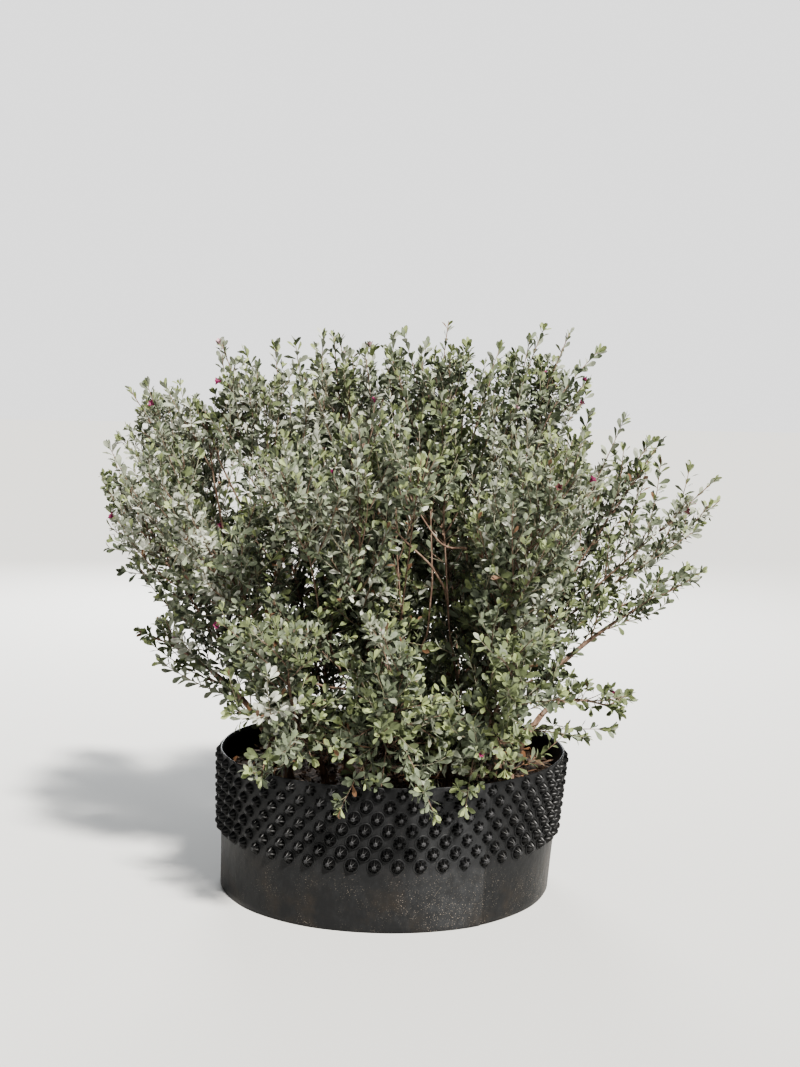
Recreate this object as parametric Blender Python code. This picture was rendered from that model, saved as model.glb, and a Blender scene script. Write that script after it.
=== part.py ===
# A silvery-leaved flowering shrub, a metre high, in a round black pot with a studded wall.
# The pot is a plastic sheet bent into a ring and set on a flat disc, and it is full of potting mix.
# Many thin stems rise from the mix and lean outwards. Most of them fork into boughs, and each
# bough or plain stem ends in one mass of leafy twigs, which keeps to its own part of the crown.
# Metres, +Z up. The origin is the middle of the pot's flat underside, and the front is -Y.

import math
import random

import bmesh
import bpy
import numpy as np
from mathutils import Vector

# Clear gap between two pieces that touch
GAP = 0.0003

# Pot
BASE_RADIUS = 0.294
RIM_RADIUS = 0.307
POT_HEIGHT = 0.245
RIM_SHIFT = 0.012        # the ring leans a little towards +X
WALL = 0.004
FLOOR = 0.003
STUDS_ROUND = 50
STUD_ROWS = 7
STUD_HALF = 0.0095       # from a stud's middle to the edge of its foot
STUD_HEIGHT = 0.0095
TOP_ROW_DROP = 0.0135    # from the rim down to the middle of the top row
ROW_PITCH = 0.0198

# Potting mix
MIX_LEVEL = 0.205
MIX_SIDES = 50

# Limbs
LIMB_SIDES = 5
STEM_RINGS = 6
BOUGH_RINGS = 4
FLARE_RADIUS = 0.0125    # at the flat cut on the mix
FLARE_SHARE = 0.65       # the flare's height, as a share of the way to the stem's next ring
STEM_RADIUS = 0.0078     # just above the flare
FORK_RADIUS = 0.0060
PLAIN_STEM_RADIUS = 0.0050
BOUGH_RADIUS = 0.0026
TIP_RADIUS = 0.0021
FIRST_RISE = 0.45        # how much of its length a limb keeps to its first heading
BOUGH_SHARE = 0.22       # how far along the way to its leader's tip a bough ends
SHARP_ANGLE = math.radians(45)   # a limb's edges that turn less are shaded smooth

# Twigs
SPINE_POINTS = 5
SPINE_SIDES = 3
SPINE_TIP_RADIUS = 0.0015
TWIG_SIDES = 3
TWIG_RADIUS = 0.0019
TWIG_TIP_RADIUS = 0.0014
TWIG_STEP = 0.039        # along the spine, from one side twig to the next
FEWEST_TWIGS = 6
STEPS_BELOW = 0.9        # bare steps of a spine, under its first side twig
SPARE_STEPS = 0.6        # what the steps of a spine number more than its side twigs
LOW_SPREAD = math.radians(72)
HIGH_SPREAD = math.radians(34)
TWIG_LIFT = 0.2          # how strongly a side twig turns up
TURN = math.radians(137.5)
LEAST_REACH = 0.55       # the shortest side twigs, as a share of their mass's reach
SWELL_START = 0.2        # where on a half wave of lengths the lowest side twig stands
TWIG_SIZES = (0.8, 1.0)
SHORTEST_TWIG = 0.012
TWO_LEAVES_FROM = 0.055  # a twig longer than this bears two side leaves, else one

# Leaves
LEAF_LENGTH = 0.116
LEAF_WIDTH = 0.066
FULL_REACH = 0.120       # a mass that spreads less than this has smaller leaves
LEAF_THICKNESS = 0.0032
LEAF_WIDEST = 0.50
LEAF_SPREAD = math.radians(48)
LEAF_SIZES = (0.85, 1.0)
END_LEAF = 0.9           # the size of the leaf at a side twig's end
FIRST_LEAF = 0.42        # how far along its twig the first side leaf stands
LEAF_STEP = 0.36         # how much further along the second one stands
LEAF_TURN = 0.9 * math.pi
FACE_SCATTER = 0.5       # how far seeded changes turn a leaf's face
EDGE_SCATTER = 0.6       # the share of such a change that an end leaf takes
FACE_LIFT = 0.4          # how strongly a leaf's face turns up
ROOT_SUNK = 0.0022       # how far a side leaf's root goes past the middle of its twig
TIP_SUNK = 0.012         # how far an end leaf's root goes back into its twig

# Room
SMALLER_TRIES = (1.0, 0.8, 0.6)
KEEP_OFF = 0.003         # a point is this much nearer to its own spine than to any other
LIMB_CLEARANCE = 0.004
STOP_STEP = 0.01         # a spine is shortened by this share until its end leaf has room

# Each forked stem: where its foot stands on the mix, and where it forks
FORKED_STEMS = {
    "left": ((-0.165, 0.125), (-0.290, 0.070, 0.395)),
    "mid_left": ((-0.110, 0.030), (-0.190, -0.030, 0.400)),
    "front_left": ((-0.065, -0.075), (-0.090, -0.105, 0.315)),
    "centre": ((0.000, -0.020), (0.005, -0.055, 0.325)),
    "front_right": ((0.105, -0.070), (0.140, -0.095, 0.315)),
    "right": ((0.145, 0.020), (0.245, -0.010, 0.425)),
    "back": ((-0.030, 0.110), (-0.045, 0.155, 0.325)),
    "back_right": ((0.090, 0.110), (0.135, 0.130, 0.330)),
}

# Each plain stem: where its foot stands, and where it runs into its foliage
PLAIN_STEMS = {
    "left_low": ((-0.205, 0.010), (-0.270, 0.000, 0.335)),
    "left_sprig": ((-0.165, -0.115), (-0.178, -0.200, 0.300)),
    "skirt_left": ((-0.100, -0.155), (-0.120, -0.195, 0.275)),
    "skirt_middle": ((-0.005, -0.150), (0.000, -0.195, 0.275)),
    "skirt_right": ((0.105, -0.155), (0.135, -0.190, 0.280)),
    "right_low": ((0.195, -0.055), (0.290, -0.085, 0.400)),
    "right_sprig": ((0.215, -0.130), (0.265, -0.130, 0.330)),
    "back_low": ((0.020, 0.200), (0.030, 0.265, 0.310)),
}

# Each mass of foliage: the stem that carries it, the tip of its leader, and how far it spreads
FOLIAGE = {
    "left_outer": ("left", (-0.508, -0.010, 0.700), 0.125),
    "back_left": ("left", (-0.390, 0.290, 0.720), 0.170),
    "left_top": ("mid_left", (-0.470, 0.045, 0.875), 0.150),
    "left_front": ("mid_left", (-0.335, -0.240, 0.690), 0.150),
    "front_left": ("front_left", (-0.150, -0.345, 0.730), 0.150),
    "upper_left": ("front_left", (-0.295, -0.050, 0.958), 0.150),
    "front_centre": ("centre", (0.050, -0.370, 0.780), 0.150),
    "top_left": ("centre", (-0.105, 0.030, 0.980), 0.150),
    "front_right": ("front_right", (0.260, -0.330, 0.720), 0.150),
    "top_centre": ("front_right", (0.098, -0.020, 1.006), 0.150),
    "right_upper": ("right", (0.467, -0.060, 0.800), 0.110),
    "right_mid": ("right", (0.550, -0.130, 0.740), 0.100),
    "right_far": ("right", (0.599, 0.060, 0.693), 0.110),
    "back_middle": ("back", (-0.060, 0.420, 0.740), 0.180),
    "back_top": ("back", (-0.080, 0.270, 0.950), 0.200),
    "back_outer": ("back_right", (0.370, 0.330, 0.760), 0.190),
    "top_right": ("back_right", (0.320, 0.080, 0.990), 0.170),
    "left_low": ("left_low", (-0.440, -0.010, 0.445), 0.100),
    "left_sprig": ("left_sprig", (-0.195, -0.330, 0.262), 0.070),
    "skirt_left": ("skirt_left", (-0.150, -0.370, 0.490), 0.180),
    "skirt_middle": ("skirt_middle", (0.035, -0.385, 0.480), 0.180),
    "skirt_right": ("skirt_right", (0.205, -0.350, 0.480), 0.180),
    "right_low": ("right_low", (0.530, -0.080, 0.565), 0.110),
    "right_sprig": ("right_sprig", (0.402, -0.110, 0.336), 0.080),
    "back_low": ("back_low", (0.080, 0.410, 0.500), 0.180),
}

# Colour, roughness and metallic value of each material
POT_LOOK = ((0.012, 0.013, 0.015), 0.42, 0.0)
MIX_LOOK = ((0.055, 0.035, 0.022), 0.95, 0.0)
BARK_LOOK = ((0.160, 0.095, 0.065), 0.80, 0.0)
LEAF_LOOK = ((0.235, 0.275, 0.190), 0.65, 0.0)


# Clear the scene
for old in list(bpy.data.objects):
    bpy.data.objects.remove(old, do_unlink=True)


def make_material(name, look):
    """A Principled material from a colour, a roughness and a metallic value."""
    colour, roughness, metallic = look
    material = bpy.data.materials.new(name)
    material.use_nodes = True
    shader = material.node_tree.nodes["Principled BSDF"]
    shader.inputs["Base Color"].default_value = (*colour, 1.0)
    shader.inputs["Roughness"].default_value = roughness
    shader.inputs["Metallic"].default_value = metallic
    return material


def add_object(name, bm, look, smooth=False):
    """Turn a bmesh into a named object that has a material of its own."""
    mesh = bpy.data.meshes.new(name)
    bm.to_mesh(mesh)
    bm.free()
    if smooth:
        mesh.shade_smooth()
        mesh.set_sharp_from_angle(angle=SHARP_ANGLE)
    mesh.materials.append(make_material(name, look))
    obj = bpy.data.objects.new(name, mesh)
    bpy.context.scene.collection.objects.link(obj)
    return obj


# Pot and potting mix

def wall_place(angle, height, out=0.0):
    """A point of the pot's outer wall, or one that stands out from it."""
    share = height / POT_HEIGHT
    radius = BASE_RADIUS + (RIM_RADIUS - BASE_RADIUS) * share + out
    return (
        RIM_SHIFT * share + radius * math.cos(angle),
        radius * math.sin(angle),
        height,
    )


def ring_of(bm, count, height, out):
    """A closed ring of vertices on the wall."""
    return [
        bm.verts.new(wall_place(math.tau * i / count, height, out))
        for i in range(count)
    ]


def add_stud(bm, row, column):
    """The five corners of one stud: its point and the four corners of its foot."""
    height = POT_HEIGHT - TOP_ROW_DROP - row * ROW_PITCH
    angle = math.pi * column / STUDS_ROUND
    sweep = STUD_HALF / RIM_RADIUS
    return {
        "point": bm.verts.new(wall_place(angle, height, STUD_HEIGHT)),
        "right": bm.verts.new(wall_place(angle + sweep, height)),
        "left": bm.verts.new(wall_place(angle - sweep, height)),
        "up": bm.verts.new(wall_place(angle, height + STUD_HALF)),
        "down": bm.verts.new(wall_place(angle, height - STUD_HALF)),
    }


def make_pot():
    """The ring with its staggered studs, and the disc that closes it below."""
    bm = bmesh.new()
    columns = 2 * STUDS_ROUND
    rim = ring_of(bm, columns, POT_HEIGHT, 0.0)
    base = ring_of(bm, columns, 0.0, 0.0)
    inner_rim = ring_of(bm, columns, POT_HEIGHT, -WALL)
    inner_floor = ring_of(bm, columns, FLOOR, -WALL)
    last = STUD_ROWS - 1
    studs = {
        (row, column): add_stud(bm, row, column)
        for row in range(STUD_ROWS)
        for column in range(columns)
        if (row + column) % 2 == 0
    }

    for (row, column), stud in studs.items():
        corners = [stud["right"], stud["up"], stud["left"], stud["down"]]
        for i in range(4):
            bm.faces.new((stud["point"], corners[i], corners[(i + 1) % 4]))
        after = (column + 1) % columns
        before = (column - 1) % columns
        if row > 0:
            high = studs[row - 1, after]
            bm.faces.new((stud["right"], high["down"], high["left"], stud["up"]))
            high = studs[row - 1, before]
            bm.faces.new((stud["up"], high["right"], high["down"], stud["left"]))
        else:
            bm.faces.new((stud["right"], rim[after], rim[column], stud["up"]))
            bm.faces.new((stud["up"], rim[column], rim[before], stud["left"]))
        if row == last:
            bm.faces.new((stud["left"], base[before], base[column], stud["down"]))
            bm.faces.new((stud["down"], base[column], base[after], stud["right"]))

    # The plain places between the studs of one row
    for row in range(STUD_ROWS):
        for column in range(columns):
            if (row + column) % 2 == 0:
                continue
            right = studs[row, (column + 1) % columns]["left"]
            left = studs[row, (column - 1) % columns]["right"]
            above = studs[row - 1, column]["down"] if row > 0 else rim[column]
            below = studs[row + 1, column]["up"] if row < last else base[column]
            bm.faces.new((right, above, left, below))

    for i in range(columns):
        j = (i + 1) % columns
        bm.faces.new((rim[i], rim[j], inner_rim[j], inner_rim[i]))
        bm.faces.new((inner_rim[i], inner_rim[j], inner_floor[j], inner_floor[i]))
    bm.faces.new(inner_floor)
    bm.faces.new(reversed(base))
    add_object("pot", bm, POT_LOOK)


def make_mix():
    """The potting mix fills the pot up to a flat top a little under the rim."""
    bm = bmesh.new()
    flat_side = RIM_RADIUS * (1.0 - math.cos(math.pi / (2 * STUDS_ROUND)))
    inset = -WALL - GAP - flat_side
    low = ring_of(bm, MIX_SIDES, FLOOR + GAP, inset)
    top = ring_of(bm, MIX_SIDES, MIX_LEVEL, inset)
    for i in range(MIX_SIDES):
        j = (i + 1) % MIX_SIDES
        bm.faces.new((low[i], low[j], top[j], top[i]))
    bm.faces.new(top)
    bm.faces.new(reversed(low))
    add_object("potting_mix", bm, MIX_LOOK)


# Limbs

def bend(start, heading, end, count, stop=1.0):
    """Points on a curve that leaves the start along its heading and bends to the end."""
    turn_point = start + heading * (FIRST_RISE * (end - start).length)
    points = []
    for i in range(count):
        t = stop * i / (count - 1)
        points.append(start * (1 - t) ** 2 + turn_point * (2 * t * (1 - t)) + end * t ** 2)
    return points


def headings_along(points):
    """The direction of a line of points at each of them."""
    headings = []
    for i in range(len(points)):
        before = points[max(i - 1, 0)]
        after = points[min(i + 1, len(points) - 1)]
        headings.append((after - before).normalized())
    return headings


def square_to(heading):
    """Any direction square to a heading."""
    helper = Vector((0, 0, 1)) if abs(heading.z) < 0.8 else Vector((1, 0, 0))
    return heading.cross(helper).normalized()


def add_tube(bm, points, headings, radii, sides):
    """A closed tapering tube with flat ends, square to the first and last heading."""
    side = square_to(headings[0])
    rings = []
    for point, heading, radius in zip(points, headings, radii):
        side = (side - heading * side.dot(heading)).normalized()
        other = heading.cross(side)
        ring = []
        for i in range(sides):
            angle = math.tau * i / sides
            ring.append(bm.verts.new(
                point + (side * math.cos(angle) + other * math.sin(angle)) * radius))
        rings.append(ring)
    for low, high in zip(rings, rings[1:]):
        for i in range(sides):
            j = (i + 1) % sides
            bm.faces.new((low[i], low[j], high[j], high[i]))
    bm.faces.new(reversed(rings[0]))
    bm.faces.new(rings[-1])


def taper(first, last, count):
    """Evenly falling radii."""
    return [first + (last - first) * i / (count - 1) for i in range(count)]


class Limb:
    """A stem or a bough: its line and its radii, with a solid made round them."""

    def __init__(self, name, points, headings, radii):
        self.points = points
        self.headings = headings
        self.radii = radii
        bm = bmesh.new()
        add_tube(bm, points, headings, radii, LIMB_SIDES)
        add_object(name, bm, BARK_LOOK, smooth=True)

    def next_start(self):
        """Where the next limb or spine begins, just clear of this one's flat end."""
        return self.points[-1] + self.headings[-1] * GAP


def make_stem(name, foot, top, top_radius):
    """A stem from its flared flat foot on the mix up to its fork or its foliage."""
    start = Vector((*foot, MIX_LEVEL + GAP))
    end = Vector(top)
    points = bend(start, Vector((0, 0, 1)), end, STEM_RINGS)
    points.insert(1, start.lerp(points[1], FLARE_SHARE))
    headings = headings_along(points)
    headings[0] = Vector((0, 0, 1))
    foot_radius = FLARE_RADIUS * top_radius / FORK_RADIUS
    low_radius = STEM_RADIUS * top_radius / FORK_RADIUS
    radii = [foot_radius] + taper(low_radius, top_radius, len(points) - 1)
    return Limb("stem_" + name, points, headings, radii)


def fork_places(stem, ends):
    """Where each bough starts on its stem's flat end: evenly round it, on its own side."""
    middle = stem.next_start()
    heading = stem.headings[-1]
    side = square_to(heading)
    other = heading.cross(side)
    wanted = []
    for end in ends:
        way = end - middle
        wanted.append(math.atan2(way.dot(other), way.dot(side)))
    order = sorted(range(len(ends)), key=lambda i: wanted[i])
    step = math.tau / len(ends)
    drift = [wanted[i] - rank * step for rank, i in enumerate(order)]
    first = math.atan2(sum(map(math.sin, drift)), sum(map(math.cos, drift)))
    offset = FORK_RADIUS - BOUGH_RADIUS - GAP
    places = [None] * len(ends)
    for rank, i in enumerate(order):
        angle = first + rank * step
        places[i] = middle + (side * math.cos(angle) + other * math.sin(angle)) * offset
    return places


def make_limbs():
    """All stems and boughs, and the limb that each mass of foliage grows on from."""
    carriers = {}
    limbs = []
    for name, (foot, top) in FORKED_STEMS.items():
        stem = make_stem(name, foot, top, FORK_RADIUS)
        limbs.append(stem)
        masses = [mass for mass, entry in FOLIAGE.items() if entry[0] == name]
        ends = [
            Vector(top).lerp(Vector(FOLIAGE[mass][1]), BOUGH_SHARE)
            for mass in masses
        ]
        for mass, start, end in zip(masses, fork_places(stem, ends), ends):
            points = bend(start, stem.headings[-1], end, BOUGH_RINGS)
            headings = headings_along(points)
            headings[0] = stem.headings[-1]
            radii = taper(BOUGH_RADIUS, TIP_RADIUS, len(points))
            bough = Limb("bough_" + mass, points, headings, radii)
            limbs.append(bough)
            carriers[mass] = bough
    for name, (foot, top) in PLAIN_STEMS.items():
        stem = make_stem(name, foot, top, PLAIN_STEM_RADIUS)
        limbs.append(stem)
        carriers[name] = stem
    return carriers, limbs


# Room for foliage

class Lines:
    """Straight pieces of many lines, for measuring how far points are from them."""

    def __init__(self, lines, radii=None):
        starts, ends, sizes = [], [], []
        for number, line in enumerate(lines):
            for i in range(len(line) - 1):
                starts.append(line[i])
                ends.append(line[i + 1])
                sizes.append(max(radii[number][i:i + 2]) if radii else 0.0)
        self.starts = np.array(starts)
        self.ways = np.array(ends) - self.starts
        self.lengths = (self.ways ** 2).sum(axis=1)
        self.sizes = np.array(sizes)

    def nearest(self, places):
        """The distance from each place to the surface of the nearest piece."""
        gaps = places[:, None, :] - self.starts[None]
        along = np.clip((gaps * self.ways).sum(axis=2) / self.lengths, 0.0, 1.0)
        across = gaps - along[:, :, None] * self.ways
        return (np.sqrt((across ** 2).sum(axis=2)) - self.sizes).min(axis=1)


def off_the_pot(places):
    """True where every place is clear of the pot's wall and the mix."""
    share = np.clip(places[:, 2] / POT_HEIGHT, 0.0, 1.0)
    radius = np.hypot(places[:, 0] - RIM_SHIFT * share, places[:, 1])
    outside = radius > RIM_RADIUS + STUD_HEIGHT + LIMB_CLEARANCE
    inside = (radius < BASE_RADIUS) & (places[:, 2] > MIX_LEVEL + LIMB_CLEARANCE)
    above = places[:, 2] > POT_HEIGHT + LIMB_CLEARANCE
    return bool(np.all(outside & (places[:, 2] > FLOOR) | inside | above))


class Room:
    """The space of one mass: nearer to its own spine than to any other, off every limb."""

    def __init__(self, own, others, limbs):
        self.own = Lines([own])
        self.others = Lines(others)
        self.limbs = Lines(
            [limb.points for limb in limbs],
            [limb.radii for limb in limbs])

    def holds(self, places, margin):
        """True where all the places lie in the space, clear by the margin."""
        places = np.array(places)
        if not off_the_pot(places):
            return False
        if self.limbs.nearest(places).min() < margin + LIMB_CLEARANCE:
            return False
        return bool(np.all(self.own.nearest(places) + KEEP_OFF < self.others.nearest(places)))


# Foliage

def add_piece(collection, bm):
    """A loose piece of a mass, in the collection that its union reads."""
    mesh = bpy.data.meshes.new("piece")
    bm.to_mesh(mesh)
    bm.free()
    collection.objects.link(bpy.data.objects.new("piece", mesh))


def leaf_corners(root, heading, face, size):
    """The five corners of a leaf: root, tip, two edges at its widest, and the ridge between."""
    across = heading.cross(face).normalized()
    middle = root + heading * (LEAF_LENGTH * size * LEAF_WIDEST)
    half_width = across * (LEAF_WIDTH * size / 2)
    ridge = across.cross(heading).normalized() * (LEAF_THICKNESS * size)
    return [
        root,
        root + heading * (LEAF_LENGTH * size),
        middle + half_width,
        middle - half_width,
        middle + ridge,
    ]


def leaf_places(corners):
    """The corners of a leaf and places on its four edges, for the test of its room."""
    root, tip, right, left = corners[:4]
    places = corners[1:4]
    for edge in (right, left):
        places.append(root.lerp(edge, 0.6))
        places.append(tip.lerp(edge, 0.5))
    return places


def add_leaf(collection, corners):
    """A leaf is a long flat solid with a low ridge on its upper face."""
    bm = bmesh.new()
    root, tip, right, left, top = [bm.verts.new(corner) for corner in corners]
    outline = [root, right, tip, left]
    for i in range(4):
        bm.faces.new((outline[i], outline[(i + 1) % 4], top))
    bm.faces.new(reversed(outline))
    bmesh.ops.recalc_face_normals(bm, faces=bm.faces)
    add_piece(collection, bm)


def some_way(rng):
    """A small seeded change of direction."""
    return Vector([rng.uniform(-FACE_SCATTER, FACE_SCATTER) for _ in range(3)])


def outward(place, rng):
    """A side leaf faces out from the middle of the shrub, and a little up."""
    away = Vector((place.x, place.y, 0.0)).normalized()
    return away + Vector((0, 0, FACE_LIFT)) + some_way(rng)


def sideways(place, rng):
    """An end leaf stands edge outwards, so that the crown's outline shows its full width."""
    return Vector((-place.y, place.x, 0.0)).normalized() + some_way(rng) * EDGE_SCATTER


def try_leaf(collection, room, root, heading, scale, rng):
    """Put a leaf on, smaller where its full size has no room, or skip it."""
    face = outward(root, rng)
    size = scale * rng.uniform(*LEAF_SIZES)
    for smaller in SMALLER_TRIES:
        corners = leaf_corners(root, heading, face, size * smaller)
        if room.holds(leaf_places(corners), 0.0):
            add_leaf(collection, corners)
            return


def leaf_scale(reach):
    """How large a mass's leaves are: narrow masses have smaller ones."""
    return min(1.0, reach / FULL_REACH)


def make_foliage(name, carrier, spine, tip, reach, room, number):
    """One mass: its spine, side twigs turned round it by a seeded rule, and their leaves."""
    rng = random.Random(number)
    collection = bpy.data.collections.new("pieces")
    bpy.context.scene.collection.children.link(collection)
    headings = headings_along(spine)
    headings[0] = carrier.headings[-1]
    radii = taper(carrier.radii[-1], SPINE_TIP_RADIUS, len(spine))
    bm = bmesh.new()
    add_tube(bm, spine, headings, radii, SPINE_SIDES)
    solid = add_object("foliage_" + name, bm, LEAF_LOOK)

    # The leaf at the leader's tip
    way = (tip - spine[-1]).normalized()
    scale = leaf_scale(reach)
    root = tip - way * LEAF_LENGTH * scale
    add_leaf(collection, leaf_corners(root, way, sideways(tip, rng), scale))

    length = sum((b - a).length for a, b in zip(spine, spine[1:]))
    count = max(FEWEST_TWIGS, round(length / TWIG_STEP))
    angle = rng.uniform(0.0, math.tau)
    for k in range(count):
        share = (k + STEPS_BELOW) / (count + SPARE_STEPS)
        place = share * (len(spine) - 1)
        i = min(int(place), len(spine) - 2)
        foot = spine[i].lerp(spine[i + 1], place - i)
        heading = headings[i].lerp(headings[i + 1], place - i).normalized()
        side = square_to(heading)
        out = side * math.cos(angle) + heading.cross(side) * math.sin(angle)
        angle += TURN
        spread = LOW_SPREAD + (HIGH_SPREAD - LOW_SPREAD) * share
        way = heading * math.cos(spread) + out * math.sin(spread)
        way = (way + Vector((0, 0, TWIG_LIFT))).normalized()
        swell = math.sin(math.pi * min(1.0, SWELL_START + share))
        full = reach * (LEAST_REACH + (1.0 - LEAST_REACH) * swell)
        full *= rng.uniform(*TWIG_SIZES)
        add_twig(collection, room, foot, way, full, scale, rng)
    join_pieces(solid, collection)


def add_twig(collection, room, foot, way, full, scale, rng):
    """One side twig with its leaves, as long as its room allows."""
    for smaller in SMALLER_TRIES:
        twig_length = full * smaller - LEAF_LENGTH * scale / 2
        if twig_length < SHORTEST_TWIG:
            break
        end = foot + way * twig_length
        line = [foot.lerp(end, t) for t in (0.25, 0.5, 0.75, 1.0)]
        corners = leaf_corners(end - way * TIP_SUNK, way, sideways(end, rng), END_LEAF * scale)
        if room.holds(line, TWIG_RADIUS) and room.holds(leaf_places(corners), 0.0):
            bm = bmesh.new()
            add_tube(bm, [foot, end], [way, way], [TWIG_RADIUS, TWIG_TIP_RADIUS], TWIG_SIDES)
            add_piece(collection, bm)
            add_leaf(collection, corners)
            side_turn = rng.uniform(0.0, math.tau)
            side = square_to(way)
            leaves = 2 if twig_length > TWO_LEAVES_FROM else 1
            for k in range(leaves):
                out = side * math.cos(side_turn) + way.cross(side) * math.sin(side_turn)
                side_turn += LEAF_TURN
                heading = way * math.cos(LEAF_SPREAD) + out * math.sin(LEAF_SPREAD)
                root = foot.lerp(end, FIRST_LEAF + LEAF_STEP * k) - heading * ROOT_SUNK
                try_leaf(collection, room, root, heading, scale, rng)
            return


def join_pieces(solid, collection):
    """Fuse the pieces of a mass to its spine with one union, and drop any loose scrap."""
    union = solid.modifiers.new("union", "BOOLEAN")
    union.operation = "UNION"
    union.operand_type = "COLLECTION"
    union.collection = collection
    union.solver = "EXACT"
    graph = bpy.context.evaluated_depsgraph_get()
    graph.update()
    joined = bpy.data.meshes.new_from_object(solid.evaluated_get(graph))
    solid.modifiers.clear()
    old = solid.data
    solid.data = joined
    bpy.data.meshes.remove(old)
    for piece in list(collection.objects):
        mesh = piece.data
        bpy.data.objects.remove(piece, do_unlink=True)
        bpy.data.meshes.remove(mesh)
    bpy.data.collections.remove(collection)
    keep_main_body(joined)


def keep_main_body(mesh):
    """Keep the body with the most faces. A sealed hollow or a scrap is a body of its own."""
    bm = bmesh.new()
    bm.from_mesh(mesh)
    waiting = set(bm.faces)
    bodies = []
    while waiting:
        body = set()
        front = [waiting.pop()]
        while front:
            face = front.pop()
            body.add(face)
            for edge in face.edges:
                for other in edge.link_faces:
                    if other in waiting:
                        waiting.remove(other)
                        front.append(other)
        bodies.append(body)
    main = max(bodies, key=len)
    scraps = [face for body in bodies if body is not main for face in body]
    bmesh.ops.delete(bm, geom=scraps, context="FACES")
    bm.to_mesh(mesh)
    bm.free()


def make_crown(carriers, limbs):
    """Every mass of foliage, each in the room round its own spine."""
    spines = {}
    for name, (_, tip, reach) in FOLIAGE.items():
        carrier = carriers[name]
        end_leaf = LEAF_LENGTH * leaf_scale(reach)
        start = carrier.next_start()
        heading = carrier.headings[-1]
        stop = 1.0
        whole = bend(start, heading, Vector(tip), 2)
        while (Vector(tip) - whole[-1]).length < end_leaf - TIP_SUNK:
            stop -= STOP_STEP
            whole = bend(start, heading, Vector(tip), 2, stop)
        spines[name] = bend(start, heading, Vector(tip), SPINE_POINTS, stop)
    for number, (name, (_, tip, reach)) in enumerate(FOLIAGE.items()):
        others = [spine for other, spine in spines.items() if other != name]
        room = Room(spines[name], others, limbs)
        make_foliage(name, carriers[name], spines[name], Vector(tip), reach, room, number)


make_pot()
make_mix()
limb_of_mass, all_limbs = make_limbs()
make_crown(limb_of_mass, all_limbs)
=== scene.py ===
# The looks of a potted silvery-leaved shrub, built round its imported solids.
# Metres, +Z up, the front is -Y. Each section is one piece, in the order the plant stands up.

import math
from collections import namedtuple

import bpy
import numpy as np
from mathutils import Matrix, Vector


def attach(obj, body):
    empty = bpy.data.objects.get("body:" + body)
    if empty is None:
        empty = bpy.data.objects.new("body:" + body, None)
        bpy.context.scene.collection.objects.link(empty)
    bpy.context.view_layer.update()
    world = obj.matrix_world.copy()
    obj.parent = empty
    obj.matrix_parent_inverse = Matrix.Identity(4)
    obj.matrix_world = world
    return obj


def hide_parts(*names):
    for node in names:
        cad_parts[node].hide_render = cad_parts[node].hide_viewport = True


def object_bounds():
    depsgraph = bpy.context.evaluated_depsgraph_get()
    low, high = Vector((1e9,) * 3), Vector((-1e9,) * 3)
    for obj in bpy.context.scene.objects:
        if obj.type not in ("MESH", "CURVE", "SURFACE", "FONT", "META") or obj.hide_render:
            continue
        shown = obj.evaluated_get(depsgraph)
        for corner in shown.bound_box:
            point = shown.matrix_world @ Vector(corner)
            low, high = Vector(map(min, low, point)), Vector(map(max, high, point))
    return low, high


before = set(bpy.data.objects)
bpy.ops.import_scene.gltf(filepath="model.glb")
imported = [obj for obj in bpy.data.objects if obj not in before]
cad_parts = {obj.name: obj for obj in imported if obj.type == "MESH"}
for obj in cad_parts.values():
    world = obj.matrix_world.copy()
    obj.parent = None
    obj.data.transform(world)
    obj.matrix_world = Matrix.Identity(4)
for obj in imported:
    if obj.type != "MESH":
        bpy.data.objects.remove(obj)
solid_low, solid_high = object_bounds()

# The pot. A black plastic sheet with moulded hollow studs, bent into a ring and overlapped at
# the front right, where its loose edge shows as a step. It stands on a flat disc. Dust and
# potting mix have stuck to its foot, and scuffs have left the flat wall a dull grey. Its colour
# also has a painted sheen, greyer on the front and just left of the seam, and a painted
# reflection of brown ground in streaks low at its left and right edges.

BASE_RADIUS = 0.294
RIM_RADIUS = 0.307
POT_HEIGHT = 0.245
RIM_SHIFT = 0.012        # how far the rim leans towards +X
SHEET = 0.002
WALL_COLUMNS = 400
WALL_ROWS = 26
EDGE = 0.0012            # how high the rounding at the foot and the rim is
FOOT_TUCK = 0.0015
DISC_RING = 0.030        # how far inside the wall the disc has a ring of points
WAIST = 0.0012           # how far the wall is drawn in half way up
DENTS = ((0.0007, 5, 0.7), (0.0004, 13, 2.1))    # how deep, how many, and turned how far
INNER_FACE = SHEET * 1.6
INNER_FOOT = 0.190       # the inner face ends under the mix
INNER_ROWS = 6
LAP_ANGLE = math.radians(-57)
LAP_WIDTH = 0.42
LAP_STEP = SHEET * 1.1
LAP_FADE = 0.6
LAP_EDGE = 1e-4          # the angle over which the loose edge steps down
STUDS_ROUND = 50
STUD_ROWS = 7
TOP_ROW_DROP = 0.0135
ROW_PITCH = 0.0198
RIM_CLEARANCE = 0.0004
STUD_RADIUS = 0.0098
STUD_HEIGHT = 0.0092
STUD_PETALS = 7
STUD_POINTS = 4          # mesh points round each petal
STUD_TURN = 0.3
PETAL_CURVE = 1.1
TIP_DISH = 0.0007        # how far the middle of a stud's tip is sunk
DISH_POINTS = 14

# Rings round a stud's middle: how far out, the share of its radius, and how deep the grooves
# between its petals are
STUD_LEVELS = ((-0.0004, 1.12, 0.50), (0.0022, 1.02, 0.50), (0.0056, 0.70, 0.44),
               (0.0082, 0.40, 0.25), (STUD_HEIGHT, 0.30, 0.10))
DISH_LEVELS = ((-0.0006, 1.38, 0.0), (0.0004, 1.24, 0.0), (-0.0004, 1.10, 0.0))

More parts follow.
